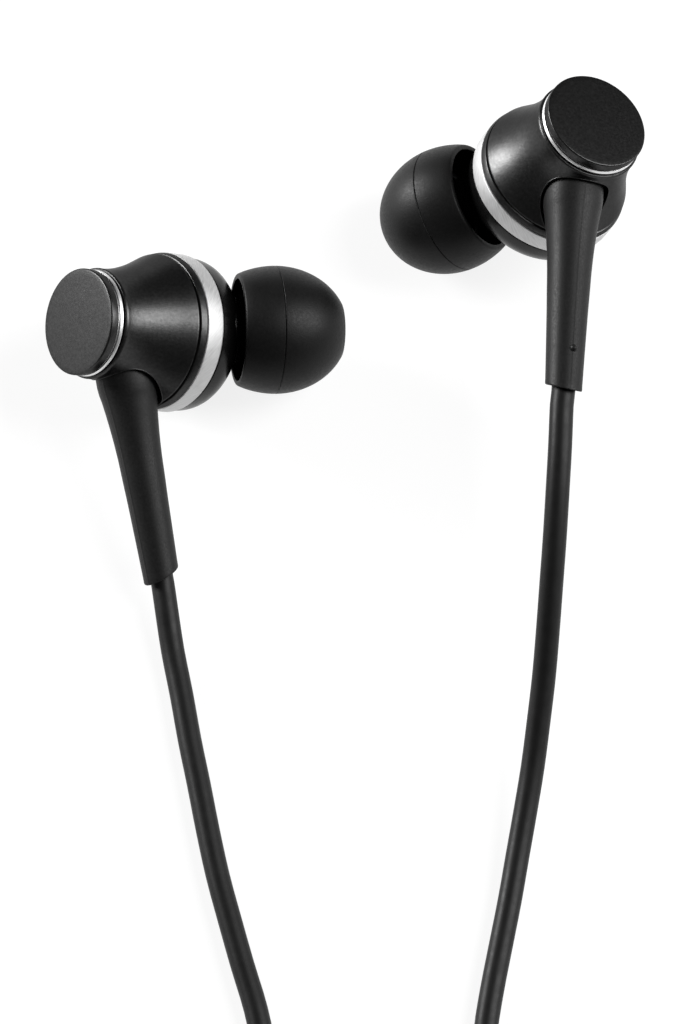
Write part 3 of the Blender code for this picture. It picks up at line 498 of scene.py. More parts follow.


# %% [markdown]
# ## Anodised black
# The housings are aluminium, blasted with fine beads and dyed black. The blasting leaves a close, even grain
# that spreads every highlight into a soft glow. It is a metal whose colour is nearly black. Its edge tint is
# darkened, which dims what it reflects at its rims: painted shade, standing in for dark surroundings there.

# %% Finish for the housings and caps
tree, shader = start_finish("anodised_black", grey(0.047), 0.325, metallic=1.0)
# Halved edge tint: painted shade that darkens the reflections at the rims.
shader.inputs["Specular Tint"].default_value = (0.5, 0.5, 0.5, 1)
tint(tree, grain(tree, 0.3 * MM), shader, grey(0.040), grey(0.054))
vary(tree, grain(tree, 0.22 * MM), shader.inputs["Roughness"], 0.30, 0.38)
emboss(tree, grain(tree, 0.12 * MM, detail=2.0), shader, 0.006 * MM)

# %% [markdown]
# ## Cap and bright line
# The cap closes the rear of the housing. It is a plain disc with a fine chamfer. Its face is crowned by less
# than a tenth of a millimetre, so that the light falls off across it. Under it sits a narrow ring that is cut
# with a diamond tool until it shines. That cut is steep, so it catches the light from the side.

# %% Make the caps
# Sizes of turned pieces are in mm. Heights run along the housing, from the silver ring's front edge.
CAP_RADIUS = 5.20
CAP_FACE = 12.05
CAP_UNDER = 11.10
CAP_CHAMFER = 0.11
CAP_SPIGOT = 3.60                   # radius of the plug that holds the cap in the housing
CAP_SPIGOT_END = 9.25
CAP_CROWN = 0.08                    # how much higher the middle of the face is than its edge
CROWN_ABOVE = 0.6                   # the share of the crown that rises over the measured face

cap_edge = CAP_FACE - (1 - CROWN_ABOVE) * CAP_CROWN
cap_face = [
    (r, CAP_FACE + CAP_CROWN * (CROWN_ABOVE - (r / CAP_RADIUS)**2)) for r in (0, 1, 2, 3, 4, 4.6)
]
cap_outline = eased(cap_face + [
    (CAP_RADIUS - CAP_CHAMFER, cap_edge, 0.05),
    (CAP_RADIUS, cap_edge - CAP_CHAMFER, 0.05),
    (CAP_RADIUS, CAP_UNDER + 0.08, 0.04),
    (CAP_RADIUS - 0.08, CAP_UNDER, 0.04),
    (CAP_SPIGOT, CAP_UNDER),
    (CAP_SPIGOT, CAP_SPIGOT_END, 0.1),
    (0, CAP_SPIGOT_END),
])
for side in EARPIECES:
    cap = turned(f"{side}_cap", cap_outline)
    settle(cap, lay_down(side), "anodised_black", f"{side}_rear_cap", sharp_over=25)

# %% Finish and make the bright line
tree, shader = start_finish("bright_trim", grey(0.78), 0.40, metallic=1.0)
cuts = grain(tree, 0.06 * MM, stretch=(0.01, 0.01, 1), detail=1.0, where=on_lathe(tree))
vary(tree, cuts, shader.inputs["Roughness"], 0.36, 0.44)
tint(tree, grain(tree, 6 * MM, detail=1.0), shader, grey(0.76), grey(0.80))

TRIM_TOP = 10.98
TRIM_FOOT = 10.50
TRIM_BORE = 3.90
trim_outline = eased([
    (4.95, TRIM_TOP),
    (4.95, 10.89, 0.02),
    (5.14, 10.88, 0.02),
    (5.21, 10.64, 0.04),
    (5.20, 10.57, 0.03),
    (5.14, TRIM_FOOT, 0.02),
    (TRIM_BORE, TRIM_FOOT),
    (TRIM_BORE, TRIM_TOP),
])
for side in EARPIECES:
    line = turned(f"{side}_bright_line", trim_outline)
    settle(line, lay_down(side), "bright_trim", f"{side}_cap_trim", sharp_over=25)

# %% [markdown]
# ## The housing
# The housing narrows to a waist behind the ring and then runs nearly straight to the cap. Its outline
# follows radii measured off the picture. A fine groove parts the flare from a flat band at the front. The
# boot comes out through a saddle-shaped opening, which a Boolean cuts with a boot that is a little too wide.

# %% Outline of the housing
RING_REAR = 2.01                    # rear edge of the silver ring
SEAM = 0.12                         # between the silver ring and the housing
SHELL_BORE = 3.90                   # the hole that the cap's plug goes into
RING_SEAT = 6.95                    # the silver ring's inside
FLARE = [
    (5.43, 10.17), (5.42, 9.7), (5.46, 9.1), (5.55, 8.4), (5.71, 7.6), (5.97, 6.7),
    (6.32, 5.7), (6.68, 4.85), (7.02, 4.15), (7.27, 3.65), (7.44, 3.30), (7.52, 3.14),
]
BAND_FRONT = 7.79
BAND_REAR = 7.56
GROOVE_DEPTH = 0.22
HOUSING_REAR = 10.35
REAR_WALL = 0.80
band_edge = RING_REAR + SEAM
housing_outline = eased(
    [(SHELL_BORE, HOUSING_REAR), (5.34, HOUSING_REAR, 0.05)]
    + flowing(FLARE)
    + [
        (BAND_REAR, 3.00, 0.05),
        (BAND_REAR - GROOVE_DEPTH, 2.93, 0.03),
        (BAND_REAR - GROOVE_DEPTH, 2.84, 0.03),
        (BAND_REAR + 0.06, 2.76, 0.05),
        (BAND_FRONT, band_edge, 0.06),
        (RING_SEAT, band_edge),
        # The rest is inside.
        (RING_SEAT, 3.20),
        (6.30, 3.20),
        (6.05, 4.60),
        (5.00, 7.10),
        (4.55, HOUSING_REAR - REAR_WALL),
        (SHELL_BORE, HOUSING_REAR - REAR_WALL),
    ]
)


def housing_radius(h):
    """The flare's radius at a height, in mm."""
    for (r1, h1), (r2, h2) in zip(FLARE, FLARE[1:]):
        if h2 <= h <= h1:
            return r1 + (r2 - r1) * (h1 - h) / (h1 - h2)
    return FLARE[0][0] if h > FLARE[0][1] else FLARE[-1][0]


print("the housing's radius at heights 4, 6 and 8:", [round(housing_radius(h), 2) for h in (4, 6, 8)])

# %% Outline of the boot
BOOT_RADII = [
    # (distance from the housing, radius), in mm
    (0.0, 2.94), (0.8, 2.86), (1.5, 2.73), (2.5, 2.60), (3.5, 2.48), (4.6, 2.37), (5.6, 2.28), (7.5, 2.16),
    (9.5, 2.09), (11.5, 2.01), (13.5, 1.95), (15.6, 1.89), (17.6, 1.835), (19.0, 1.80),
]


def boot_radius(distance):
    """The boot's radius at a distance from the housing, in mm."""
    for (d1, r1), (d2, r2) in zip(BOOT_RADII, BOOT_RADII[1:]):
        if d1 <= distance <= d2:
            return r1 + (r2 - r1) * (distance - d1) / (d2 - d1)
    return BOOT_RADII[0][1] if distance < 0 else BOOT_RADII[-1][1]


print("the boot's radius halfway down, mm:", round(boot_radius(BOOT_LENGTH / MM / 2), 2))

# %% Cut the housings
OPENING_GAP = 0.42                  # round the boot
OPENING_SHIFT = Matrix.Translation((0.12 * MM, 0, 0))
CUTTER_IN = 2.3                     # how far the cutter reaches into the housing
CUTTER_OUT = 22                     # and out of it
HOUSING_STEPS = 144
CUTTER_STEPS = 72
opening_outline = [(0, CUTTER_IN), (BOOT_RADII[0][1] + OPENING_GAP, CUTTER_IN)]
opening_outline += [(r + OPENING_GAP, -d) for d, r in BOOT_RADII]
opening_outline += [(BOOT_RADII[-1][1] + OPENING_GAP, -CUTTER_OUT), (0, -CUTTER_OUT)]

for side in EARPIECES:
    housing = turned(f"{side}_housing", housing_outline, HOUSING_STEPS)
    opening = turned("opening", opening_outline, CUTTER_STEPS)
    opening.matrix_world = boot_frame @ OPENING_SHIFT
    combine(housing, opening)
    settle(housing, lay_down(side), "anodised_black", f"{side}_rear_housing", sharp_over=30)

# %% [markdown]
# ## The rim of the opening
# The cutter leaves a knife edge where it meets the flare. On the real housing that edge is broken, and it
# shows as a thin bright arch over the boot. The edge is a curve in space: at each angle round the boot,
# halving steps find how far out the cutter meets the flare. A fine bead laid along it makes the arch.

# %% Find the rim and lay the bead
RIM_BEAD = 0.07                     # radius
RIM_POINTS = 96


def rim_point(angle):
    """Where the opening's wall leaves the housing, in the earpiece's frame."""
    inside, outside = -2.0, 8.0         # two places along the boot, one on each side of the wall
    for halving in range(40):
        middle = (inside + outside) / 2
        r = boot_radius(middle) + OPENING_GAP
        at = boot_frame @ OPENING_SHIFT @ (Vector((r * cos(angle), r * sin(angle), -middle)) * MM)
        if hypot(at.x, at.y) < housing_radius(at.z / MM) * MM:
            inside = middle
        else:
            outside = middle
    return at


def bead(name, points, radius, sides=10):
    """A closed ring of round section through the points."""
    angles = [2 * pi * k / sides for k in range(sides)]
    rings = []
    for i, at in enumerate(points):
        along = (points[(i + 1) % len(points)] - points[i - 1]).normalized()
        out = Vector((at.x, at.y, 0)).normalized()
        across = along.cross(out).normalized()
        out = across.cross(along)
        rings.append([at + (out * cos(a) + across * sin(a)) * radius for a in angles])
    return skinned(name, rings)


rim = [rim_point(2 * pi * k / RIM_POINTS) for k in range(RIM_POINTS)]
rim = [p - Vector((p.x, p.y, 0)).normalized() * 0.5 * RIM_BEAD * MM for p in rim]
for side in EARPIECES:
    arch = bead(f"{side}_opening_rim", rim, RIM_BEAD * MM)
    settle(arch, lay_down(side), "anodised_black", None, sharp_over=180)
print("rim runs round", round(1000 * length_of(rim), 1), "mm")

# %% [markdown]
# ## The silver ring
# The ring is bare aluminium, brushed in fine slanting strokes and then sealed. Brushing is a direction, not
# a pattern: noise that is unrolled round the ring and stretched along the strokes gives it, in height and in
# roughness alike.

# %% Finish for the silver ring
RING_RADIUS = 7.70
BRUSH_SLANT = radians(38)
tree, shader = start_finish("brushed_silver", grey(0.60), 0.58, metallic=1.0)
where = add(tree, "SeparateXYZ")
tree.links.new(on_lathe(tree), where.inputs["Vector"])
angle = add(tree, "Math", operation="ARCTAN2")
tree.links.new(where.outputs["Y"], angle.inputs[0])
tree.links.new(where.outputs["X"], angle.inputs[1])
unrolled = add(tree, "Math", operation="MULTIPLY")
unrolled.inputs[1].default_value = RING_RADIUS * MM
tree.links.new(angle.outputs["Value"], unrolled.inputs[0])
flat = add(tree, "CombineXYZ")
tree.links.new(unrolled.outputs["Value"], flat.inputs["X"])
tree.links.new(where.outputs["Z"], flat.inputs["Y"])
slant = add(tree, "VectorRotate", rotation_type="Z_AXIS")
slant.inputs["Angle"].default_value = BRUSH_SLANT
tree.links.new(flat.outputs["Vector"], slant.inputs["Vector"])
strokes = grain(tree, 0.09 * MM, stretch=(0.07, 1, 1), detail=2.0, where=slant.outputs["Vector"])
vary(tree, strokes, shader.inputs["Roughness"], 0.52, 0.66)
tint(tree, strokes, shader, grey(0.50), grey(0.70))
emboss(tree, strokes, shader, 0.008 * MM)

# %% Make the silver rings
ring_outline = eased([
    (RING_RADIUS - 0.01, RING_REAR, 0.05),
    (RING_RADIUS + 0.11, RING_REAR - 0.09, 0.06),
    (RING_RADIUS + 0.13, 0.17, 0.06),
    (RING_RADIUS - 0.01, 0.0, 0.05),
    (RING_SEAT, 0.0),
    (RING_SEAT, RING_REAR),
])
for side in EARPIECES:
    ring = turned(f"{side}_silver_ring", ring_outline, HOUSING_STEPS)
    settle(ring, lay_down(side), "brushed_silver", f"{side}_trim_ring", sharp_over=25)

# %% [markdown]
# ## The nozzle side
# Ahead of the ring the housing is moulded in glossy plastic: a shallow dome, and the nozzle that leaves it at
# a slant. A Boolean joins the two turned shapes, a second one drills the sound bore, and a barb near the
# nozzle's end holds the ear tip.

# %% Finish for the glossy plastic
tree, shader = start_finish("black_plastic", grey(0.003), 0.26, IOR=1.36)
tint(tree, grain(tree, 5 * MM), shader, grey(0.002), grey(0.004))
vary(tree, grain(tree, 0.7 * MM), shader.inputs["Roughness"], 0.22, 0.32)
emboss(tree, grain(tree, 3 * MM, detail=1.0), shader, 0.02 * MM)

# %% Make the domes and nozzles
DOME = [
    (7.62, -0.45), (7.61, -0.9), (7.56, -1.4), (7.38, -2.0), (7.05, -2.55), (6.55, -3.05), (5.8, -3.5),
    (4.7, -3.9), (3.4, -4.25), (1.8, -4.57), (0, -4.70),
]
# The wall inside the dome, and the collar that plugs into the housing behind the silver ring.
dome_inside = [
    (0, -3.40), (4.40, -2.65), (5.40, -1.90), (5.90, -1.90), (5.90, 2.90), (6.65, 2.90), (6.65, -0.15),
]
dome_outline = dome_inside + [(7.53, -0.15), (7.61, -0.25)] + flowing(DOME, 3)

# Distances along the nozzle, from where its axis meets the housing's.
NOZZLE_END = 16.40
NOZZLE_RADIUS = 2.60
BARB_RADIUS = 2.93
nozzle_outline = eased([
    (0, NOZZLE_END),
    (NOZZLE_RADIUS - 0.20, NOZZLE_END, 0.12),
    (NOZZLE_RADIUS + 0.02, NOZZLE_END - 0.35, 0.1),
    (BARB_RADIUS, NOZZLE_END - 1.05, 0.15),
    (BARB_RADIUS, NOZZLE_END - 1.60, 0.1),
    (NOZZLE_RADIUS, NOZZLE_END - 1.90, 0.1),
    (NOZZLE_RADIUS, 10.90, 0.5),
    (2.85, 10.10, 0.3),
    (3.32, 9.30, 0.4),
    (3.40, 8.40),
    (0, 8.00),
])
BORE_RADIUS = 1.70
MESH_SEAT_RADIUS = 2.15
MESH_SEAT_AT = NOZZLE_END - 0.9
DRILL_FROM, DRILL_TO = NOZZLE_END + 0.9, 6.8
bore_outline = [
    (0, DRILL_FROM), (MESH_SEAT_RADIUS, DRILL_FROM), (MESH_SEAT_RADIUS, MESH_SEAT_AT),
    (BORE_RADIUS, MESH_SEAT_AT), (BORE_RADIUS, DRILL_TO), (0, DRILL_TO),
]
DOME_STEPS = 120
NOZZLE_STEPS = 60
for side in EARPIECES:
    dome = turned(f"{side}_nozzle_dome", dome_outline, DOME_STEPS)
    for outline, operation in ((nozzle_outline, "UNION"), (bore_outline, "DIFFERENCE")):
        tool = turned("tool", outline, NOZZLE_STEPS)
        tool.matrix_world = nozzle_frame(side)
        combine(dome, tool, operation)
    settle(dome, lay_down(side), "black_plastic", f"{side}_front_housing")

# %% [markdown]
# ## Mesh in the nozzle
# A fine steel mesh keeps the sound bore clean. At this size a woven look from two crossed wave patterns is
# enough, on a disc that is a little domed.

# %% Finish for the plated steel and the mesh
tree, shader = start_finish("plated_steel", grey(0.5), 0.32, metallic=1.0)
vary(tree, grain(tree, 0.3 * MM), shader.inputs["Roughness"], 0.25, 0.42)
tint(tree, grain(tree, 1.2 * MM), shader, grey(0.42), grey(0.56))
emboss(tree, grain(tree, 0.06 * MM, stretch=(1, 0.1, 1)), shader, 0.003 * MM)


WAVE_UNIT = 0.314                   # metres from ridge to ridge at a scale of 1


def woven(name, colour, spacing):
    """Steel mesh: two crossed sets of ridges, spacing metres apart, with the holes between them painted dark
    as painted shade.
    """
    tree, shader = start_finish(name, colour, 0.35, metallic=1.0)
    coordinates = on_lathe(tree)
    ridges = []
    for direction in ("X", "Y"):
        wave = add(tree, "TexWave", bands_direction=direction)
        wave.inputs["Scale"].default_value = WAVE_UNIT / spacing
        tree.links.new(coordinates, wave.inputs["Vector"])
        ridges.append(wave.outputs["Fac"])
    weave = add(tree, "Math", operation="MAXIMUM")
    tree.links.new(ridges[0], weave.inputs[0])
    tree.links.new(ridges[1], weave.inputs[1])
    # Between the ridges the colour falls to near black: painted shade standing in for the dark bore behind
    # the holes.
    tint(tree, weave.outputs["Value"], shader, grey(0.01), colour)
    emboss(tree, weave.outputs["Value"], shader, 0.05 * MM)


woven("nozzle_weave", grey(0.45), 0.16 * MM)

# %% Make the meshes
disc_outline = [(0, 15.78), (1.2, 15.75), (1.85, 15.66), (1.85, 15.62), (1.2, 15.66), (0, 15.69)]
for side in EARPIECES:
    disc = turned(f"{side}_mesh_disc", disc_outline, 48)
    place = lay_down(side) @ nozzle_frame(side)
    settle(disc, place, "nozzle_weave", f"{side}_nozzle_mesh")

# %% [markdown]
# ## Ear tips
# An ear tip is a thin mushroom of silicone: a soft skirt outside, open at the rear, and a firm core inside
# that grips the nozzle. The two halves of its mould meet at its widest line, which leaves a fine groove. It
# is turned like the rest, with the wall's real thickness, because the open rear shows it.

# %% Finish for the silicone
tree, shader = start_finish("black_silicone", grey(0.004), 0.48, IOR=1.29)
tint(tree, grain(tree, 3 * MM), shader, grey(0.003), grey(0.005))
vary(tree, grain(tree, 0.25 * MM), shader.inputs["Roughness"], 0.42, 0.54)
emboss(tree, grain(tree, 0.16 * MM), shader, 0.012 * MM)
emboss(tree, grain(tree, 2.2 * MM, detail=1.0), shader, 0.02 * MM)

# %% Outline of the ear tip
# Distances along the nozzle, as on the nozzle's own outline.
TIP_WIDEST = 6.33
TIP_WIDEST_AT = 13.28
TIP_NOSE = 7.30                     # half length of the ellipse that rounds the nose
TIP_FRONT = 19.93
TIP_RIM_AT = 9.50
RIM_NARROWS = 0.61                  # by so much over SKIRT_LENGTH
SKIRT_LENGTH = 3.3
TIP_WALL = 0.52
TIP_MOUTH = 1.90
CORE_RADIUS = 3.90
CORE_BORE = 3.25
CORE_REAR = 12.30
MOULD_LINE = 0.08                   # half the width of the fine groove
MOULD_LINE_DEPTH = 0.10


def tip_radius(s):
    """The tip's outside radius at a distance along the nozzle."""
    ahead = s - TIP_WIDEST_AT
    if ahead > 0:
        return TIP_WIDEST * sqrt(1 - (ahead / TIP_NOSE)**2)
    return TIP_WIDEST - RIM_NARROWS * (ahead / SKIRT_LENGTH)**2


def tip_wall(start, step, count, inwards=0.0, stop=None):
    """Outline points along the tip's wall, as far as stop."""
    stations = [start + step * k for k in range(count)]
    return [(tip_radius(s) - inwards, s) for s in stations if stop is None or s > stop]


rim_radius = tip_radius(TIP_RIM_AT)
tip_outline = eased(
    [(TIP_MOUTH, TIP_FRONT - 0.10, 0.1), (2.30, TIP_FRONT, 0.1), (2.70, TIP_FRONT - 0.04, 0.3)]
    + tip_wall(TIP_FRONT - 0.45, -0.25, 25, stop=TIP_WIDEST_AT + 0.12)
    + [
        (TIP_WIDEST, TIP_WIDEST_AT + MOULD_LINE, 0.02),
        (TIP_WIDEST - MOULD_LINE_DEPTH, TIP_WIDEST_AT, 0.03),
        (TIP_WIDEST, TIP_WIDEST_AT - MOULD_LINE, 0.02),
    ]
    + tip_wall(TIP_WIDEST_AT - 0.12, -0.3, 11, stop=TIP_RIM_AT + 0.2)
    + [(rim_radius - 0.02, TIP_RIM_AT, 0.18), (rim_radius - TIP_WALL, TIP_RIM_AT, 0.18)]
    + tip_wall(TIP_RIM_AT + 0.25, 0.45, 15, inwards=TIP_WALL)
    + [
        (4.6, 16.95, 0.4),
        (CORE_RADIUS, 17.00, 0.2),
        (CORE_RADIUS, CORE_REAR, 0.15),
        (CORE_BORE, CORE_REAR, 0.15),
        (CORE_BORE, 17.10, 0.1),
        (TIP_MOUTH, 17.40, 0.2),
    ]
)
print("the skirt's rim is", round(2 * rim_radius, 2), "mm across")

# %% Make the ear tips
TIP_STEPS = 128
for side in EARPIECES:
    tip = turned(f"{side}_silicone_tip", tip_outline, TIP_STEPS)
    place = lay_down(side) @ nozzle_frame(side)
    settle(tip, place, "black_silicone", f"{side}_ear_tip", body=f"{side}_tip", sharp_over=40)

# %% [markdown]
# ## Cord boots
# The boot keeps the cord from bending sharply where it leaves the housing. It is moulded in a firm rubber
# that feels a little rough. Its mouth is cut at a slant, and a faint seam runs down its back where the mould
# closed. The outline is turned first. Then each point slides along the boot: the nearer the mouth, the more
# it slants.

# %% Finish for the boots
tree, shader = start_finish("black_elastomer", grey(0.006), 0.50, IOR=1.30)
tint(tree, grain(tree, 0.22 * MM), shader, grey(0.004), grey(0.009))
vary(tree, grain(tree, 0.18 * MM), shader.inputs["Roughness"], 0.44, 0.58)
emboss(tree, grain(tree, 0.14 * MM), shader, 0.010 * MM)

# %% Make the boots
BOOT_MM = BOOT_LENGTH / MM
BOOT_INSIDE = 1.90                  # how far it reaches into the housing
BOOT_BORE = 1.40
BORE_END = BOOT_MM - BOOT_BORE_DEPTH / MM
BOOT_STEPS = 160
MOUTH_SLANT = tan(radians(23))
MOUTH_SHIFT = {"right": -0.45, "left": 0.10}      # how much longer than the measured model's
SLANTS_AFTER = 9.0                  # down the boot, where the slant begins
SEAM_HEIGHT = 0.035
SEAM_WIDTH = 0.08
boot_outline = eased(
    [(0, BOOT_INSIDE), (2.75, BOOT_INSIDE, 0.15), (2.94, BOOT_INSIDE - 0.25, 0.15)]
    + flowing([(r, -d) for d, r in BOOT_RADII], 3)
    + [
        (BOOT_RADII[-1][1], -BOOT_MM, 0.22),
        (BOOT_BORE, -BOOT_MM, 0.15),
        (BOOT_BORE, -BORE_END),
        (0, -BORE_END),
    ]
)


def shape_boot(mesh, longer):
    """Raises the seam, slants the mouth and moves it by longer mm."""
    for vert in mesh.vertices:
        x, y, z = (v / MM for v in vert.co)
        r = hypot(x, y)
        if r < 0.1:
            continue
        if -BOOT_MM + 0.5 < z < 1.0 and r > BOOT_BORE + 0.1:
            off_seam = r * abs(atan2(x, abs(y)))
            grown = 1 + SEAM_HEIGHT * exp(-(off_seam / SEAM_WIDTH)**2) / r
            x, y = x * grown, y * grown
        near_mouth = min(1.0, max(0.0, (-z - SLANTS_AFTER) / (BOOT_MM - SLANTS_AFTER)))
        z += MOUTH_SLANT * near_mouth**3 * y - longer * near_mouth
        vert.co = Vector((x, y, z)) * MM


for side in EARPIECES:
    boot = turned(f"{side}_boot", boot_outline, BOOT_STEPS)
    shape_boot(boot.data, MOUTH_SHIFT[side])
    place = lay_down(side) @ boot_frame
    settle(boot, place, "black_elastomer", f"{side}_strain_relief", sharp_over=40)

# %% [markdown]
# ## The dot that marks the left side
# A small raised dot near the mouth of the left boot tells a fingertip which side it is. It is part of the
# moulding, so it has the boot's own finish and sits halfway in its surface.

# %% Make the dot
DOT_RADIUS = 0.36
DOT_FROM_MOUTH = 3.40
DOT_OFF_AXIS = 1.90
bm = bmesh.new()
bmesh.ops.create_uvsphere(bm, u_segments=28, v_segments=16, radius=DOT_RADIUS * MM)
dot = made_from(bm, "left_touch_dot")
dot_at = Matrix.Translation(Vector((0, -DOT_OFF_AXIS, DOT_FROM_MOUTH - BOOT_MM)) * MM)
settle(dot, lay_down("left") @ boot_frame @ dot_at, "black_elastomer", None, sharp_over=180)

# %% [markdown]
# ## What is inside
# The driver and its magnet can't be seen, but they are there in the measured model, so each gets the finish
# of the real part. Their shapes are right as they are.

# %% Finishes for the inner parts
def inner_finish(name, dark, light, roughness, metallic, size, depth):
    """A plain finish: colour between dark and light, grain of one size, raised by depth."""
    tree, shader = start_finish(name, light, roughness, metallic)
    tint(tree, grain(tree, 4 * size), shader, dark, light)
    vary(tree, grain(tree, 2 * size), shader.inputs["Roughness"], 0.8 * roughness, 1.2 * roughness)
    emboss(tree, grain(tree, size), shader, depth)


inner_finish("nickel_magnet", grey(0.52), grey(0.64), 0.22, 1.0, 0.2 * MM, 0.002 * MM)
inner_finish("copper_winding", (0.58, 0.25, 0.12), (0.75, 0.38, 0.2), 0.35, 1.0, 0.08 * MM, 0.02 * MM)
inner_finish("polymer_film", (0.50, 0.44, 0.32), (0.58, 0.53, 0.42), 0.3, 0.0, 0.5 * MM, 0.02 * MM)
inner_finish("circuit_board", (0.02, 0.12, 0.05), (0.04, 0.18, 0.08), 0.45, 0.0, 0.3 * MM, 0.01 * MM)
inner_finish("white_felt", grey(0.60), grey(0.74), 0.9, 0.0, 0.1 * MM, 0.06 * MM)

# %% Dress the inner parts
INNER = {
    "plated_steel": ("cord_stopper", "driver_frame", "yoke", "top_plate"),
    "nickel_magnet": ("magnet",),
    "copper_winding": ("voice_coil",),
    "polymer_film": ("diaphragm",),
    "circuit_board": ("terminal_board",),
    "white_felt": ("damping_pad",),
}
for finish, parts in INNER.items():
    for node in (f"{side}_{part}" for side in EARPIECES for part in parts):
        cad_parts[node].material_slots[0].material = finishes[finish]
        print(node, "wears", finish)

# %% [markdown]
# ## The split
# Where the two branches join, a small block is moulded over them. It narrows to the single cord. It is
# lofted: a few rounded sections, each with its own width and height, are joined one after another.

# %% Loft the split
SECTION_POINTS = 36
SQUARENESS = 3.2                    # 2 is an ellipse, and more is nearer a rectangle
SPLIT_SECTIONS = [
    # (distance from the inlets, half width, half height, height of its middle), in mm
    (0.0, 2.75, 1.45, 0.0), (0.12, 3.05, 1.72, 0.0), (0.45, 3.30, 1.92, 0.0), (1.0, 3.38, 1.98, 0.0),
    (3.0, 3.20, 1.95, -0.02), (5.5, 2.75, 1.86, -0.08), (8.0, 2.25, 1.76, -0.18),
    (9.5, 1.98, 1.70, -0.25), (10.0, 1.90, 1.62, -0.28), (10.35, 1.72, 1.45, -0.30),
    (10.5, 1.45, 1.25, -0.30),
]


def section(half_width, half_height):
    """Points of a rounded rectangle, as a superellipse."""
    points = []
    for k in range(SECTION_POINTS):
        a = 2 * pi * k / SECTION_POINTS
        x, z = (abs(v)**(2 / SQUARENESS) * (1 if v > 0 else -1) for v in (cos(a), sin(a)))
        points.append((x * half_width, z * half_height))
    return points


split_rings = [
    [Vector((x, -along, z + lift)) * MM for x, z in section(wide, high)]
    for along, wide, high, lift in SPLIT_SECTIONS
]
split = skinned("cord_split", split_rings, closed=False)
settle(split, Matrix.Translation(SPLIT_AT), "black_elastomer", "y_split", sharp_over=50)

# %% [markdown]
# ## Coil ties
# Each coil is held by a strap of hook-and-loop tape, wrapped once and pressed onto itself. The strap is a
# rounded rectangle round the bundle, and its overlap is thicker than the rest.

# %% Finish and make the ties
tree, shader = start_finish("tie_strap", grey(0.02), 0.75)
tint(tree, grain(tree, 0.5 * MM), shader, grey(0.012), grey(0.030))
vary(tree, grain(tree, 0.3 * MM), shader.inputs["Roughness"], 0.65, 0.9)
emboss(tree, grain(tree, 0.12 * MM), shader, 0.04 * MM)

TIE_WIDTH = 3.0
TIE_THICK = 0.55
TIE_EDGE = 0.12                     # how far its edges are eased
TIE_CORNER = 1.6
CORNER_STEPS = 8
OVERLAPS_ON = range(9, 21)          # of the stations round the band
OVERLAP_THICK = 1.75                # as a multiple of one layer
OFF_CORD = 0.03


def strap(name, half_wide, half_high):
    """A band round a bundle, in its own frame: X across the bundle, Y up, Z along the cord."""
    stations = []
    for quarter in range(4):
        across = (half_wide - TIE_CORNER) * (1 if quarter in (0, 3) else -1)
        up = (half_high - TIE_CORNER) * (1 if quarter in (0, 1) else -1)
        for k in range(CORNER_STEPS + 1):
            a = (quarter + k / CORNER_STEPS) * pi / 2
            stations.append((across, up, cos(a), sin(a)))
    rings = []
    half = TIE_WIDTH / 2
    for i, (across, up, out_x, out_y) in enumerate(stations):
        thick = TIE_THICK * (OVERLAP_THICK if i in OVERLAPS_ON else 1.0)
        corners = [(0, -half), (0, half), (thick, half), (thick, -half)]
        ring = []
        for off, along in eased([(*corner, TIE_EDGE) for corner in corners], 2):
            reach = TIE_CORNER + OFF_CORD + off
            ring.append(Vector((across + out_x * reach, up + out_y * reach, along)) * MM)
        rings.append(ring)
    return skinned(name, rings)


def tie_coil(name, middle, radius, coil):
    """Straps a coil at the point of it that is nearest the viewer."""
    half_wide = (half_width(coil) + CORD_DIAMETER / 2 + FIT) / MM
    rise = COIL_PITCH * (coil["layers"] - 1)
    half_high = (rise / 2 + CORD_DIAMETER / 2 + FIT) / MM
    up = Vector((0, 0, 1))
    at = middle + down_table * radius + up * (COIL_HEIGHT + rise / 2)
    turn = Matrix((down_table, up, down_table.cross(up))).transposed()
    place = Matrix.Translation(at) @ turn.to_4x4()
    return settle(strap(f"{name}_strap", half_wide, half_high), place, "tie_strap", name)


ties = {
    "right": tie_coil("right_coil_tie", right_middle, BRANCH_COIL_RADII["right"], BRANCH_COIL),
    "left": tie_coil("left_coil_tie", left_middle, BRANCH_COIL_RADII["left"], BRANCH_COIL),
    "main": tie_coil("main_coil_tie", main_middle, MAIN_COIL_RADIUS, MAIN_COIL),
}

# %% [markdown]
# ## The plug
# The plug is turned too: a ribbed rubber relief, a smooth plastic grip, and gold contacts that thin rings
# keep apart. The pieces follow one another along one axis, so their outlines are written in mm from the
# point where the cord goes in, and each contact starts where the last one ends.

# %% Finish for the contacts
tree, shader = start_finish("gold_contact", (0.86, 0.64, 0.30), 0.2, metallic=1.0)
tint(tree, grain(tree, 2 * MM), shader, (0.80, 0.58, 0.25), (0.88, 0.67, 0.33))
vary(tree, grain(tree, 0.4 * MM), shader.inputs["Roughness"], 0.14, 0.26)
emboss(tree, grain(tree, 0.05 * MM, stretch=(0.05, 0.05, 1), where=on_lathe(tree)), shader, 0.001 * MM)

# %% Outlines of the relief and the grip
RELIEF_BORE = 1.15
RELIEF_END = 8.5
RIBS = 5
relief = [(RELIEF_BORE, 0.0, 0.1), (1.80, 0.0, 0.2)]
for k in range(RIBS):
    start = 1.0 + 1.2 * k
    grow = 1.82 + 0.09 * k
    relief += [(grow, start, 0.08), (grow - 0.3, start + 0.1, 0.05), (grow - 0.3, start + 0.5, 0.05)]
    relief += [(grow + 0.05, start + 0.6, 0.08)]
relief += [(2.35, 7.3, 0.4), (2.60, RELIEF_END, 0.15), (RELIEF_BORE, RELIEF_END)]

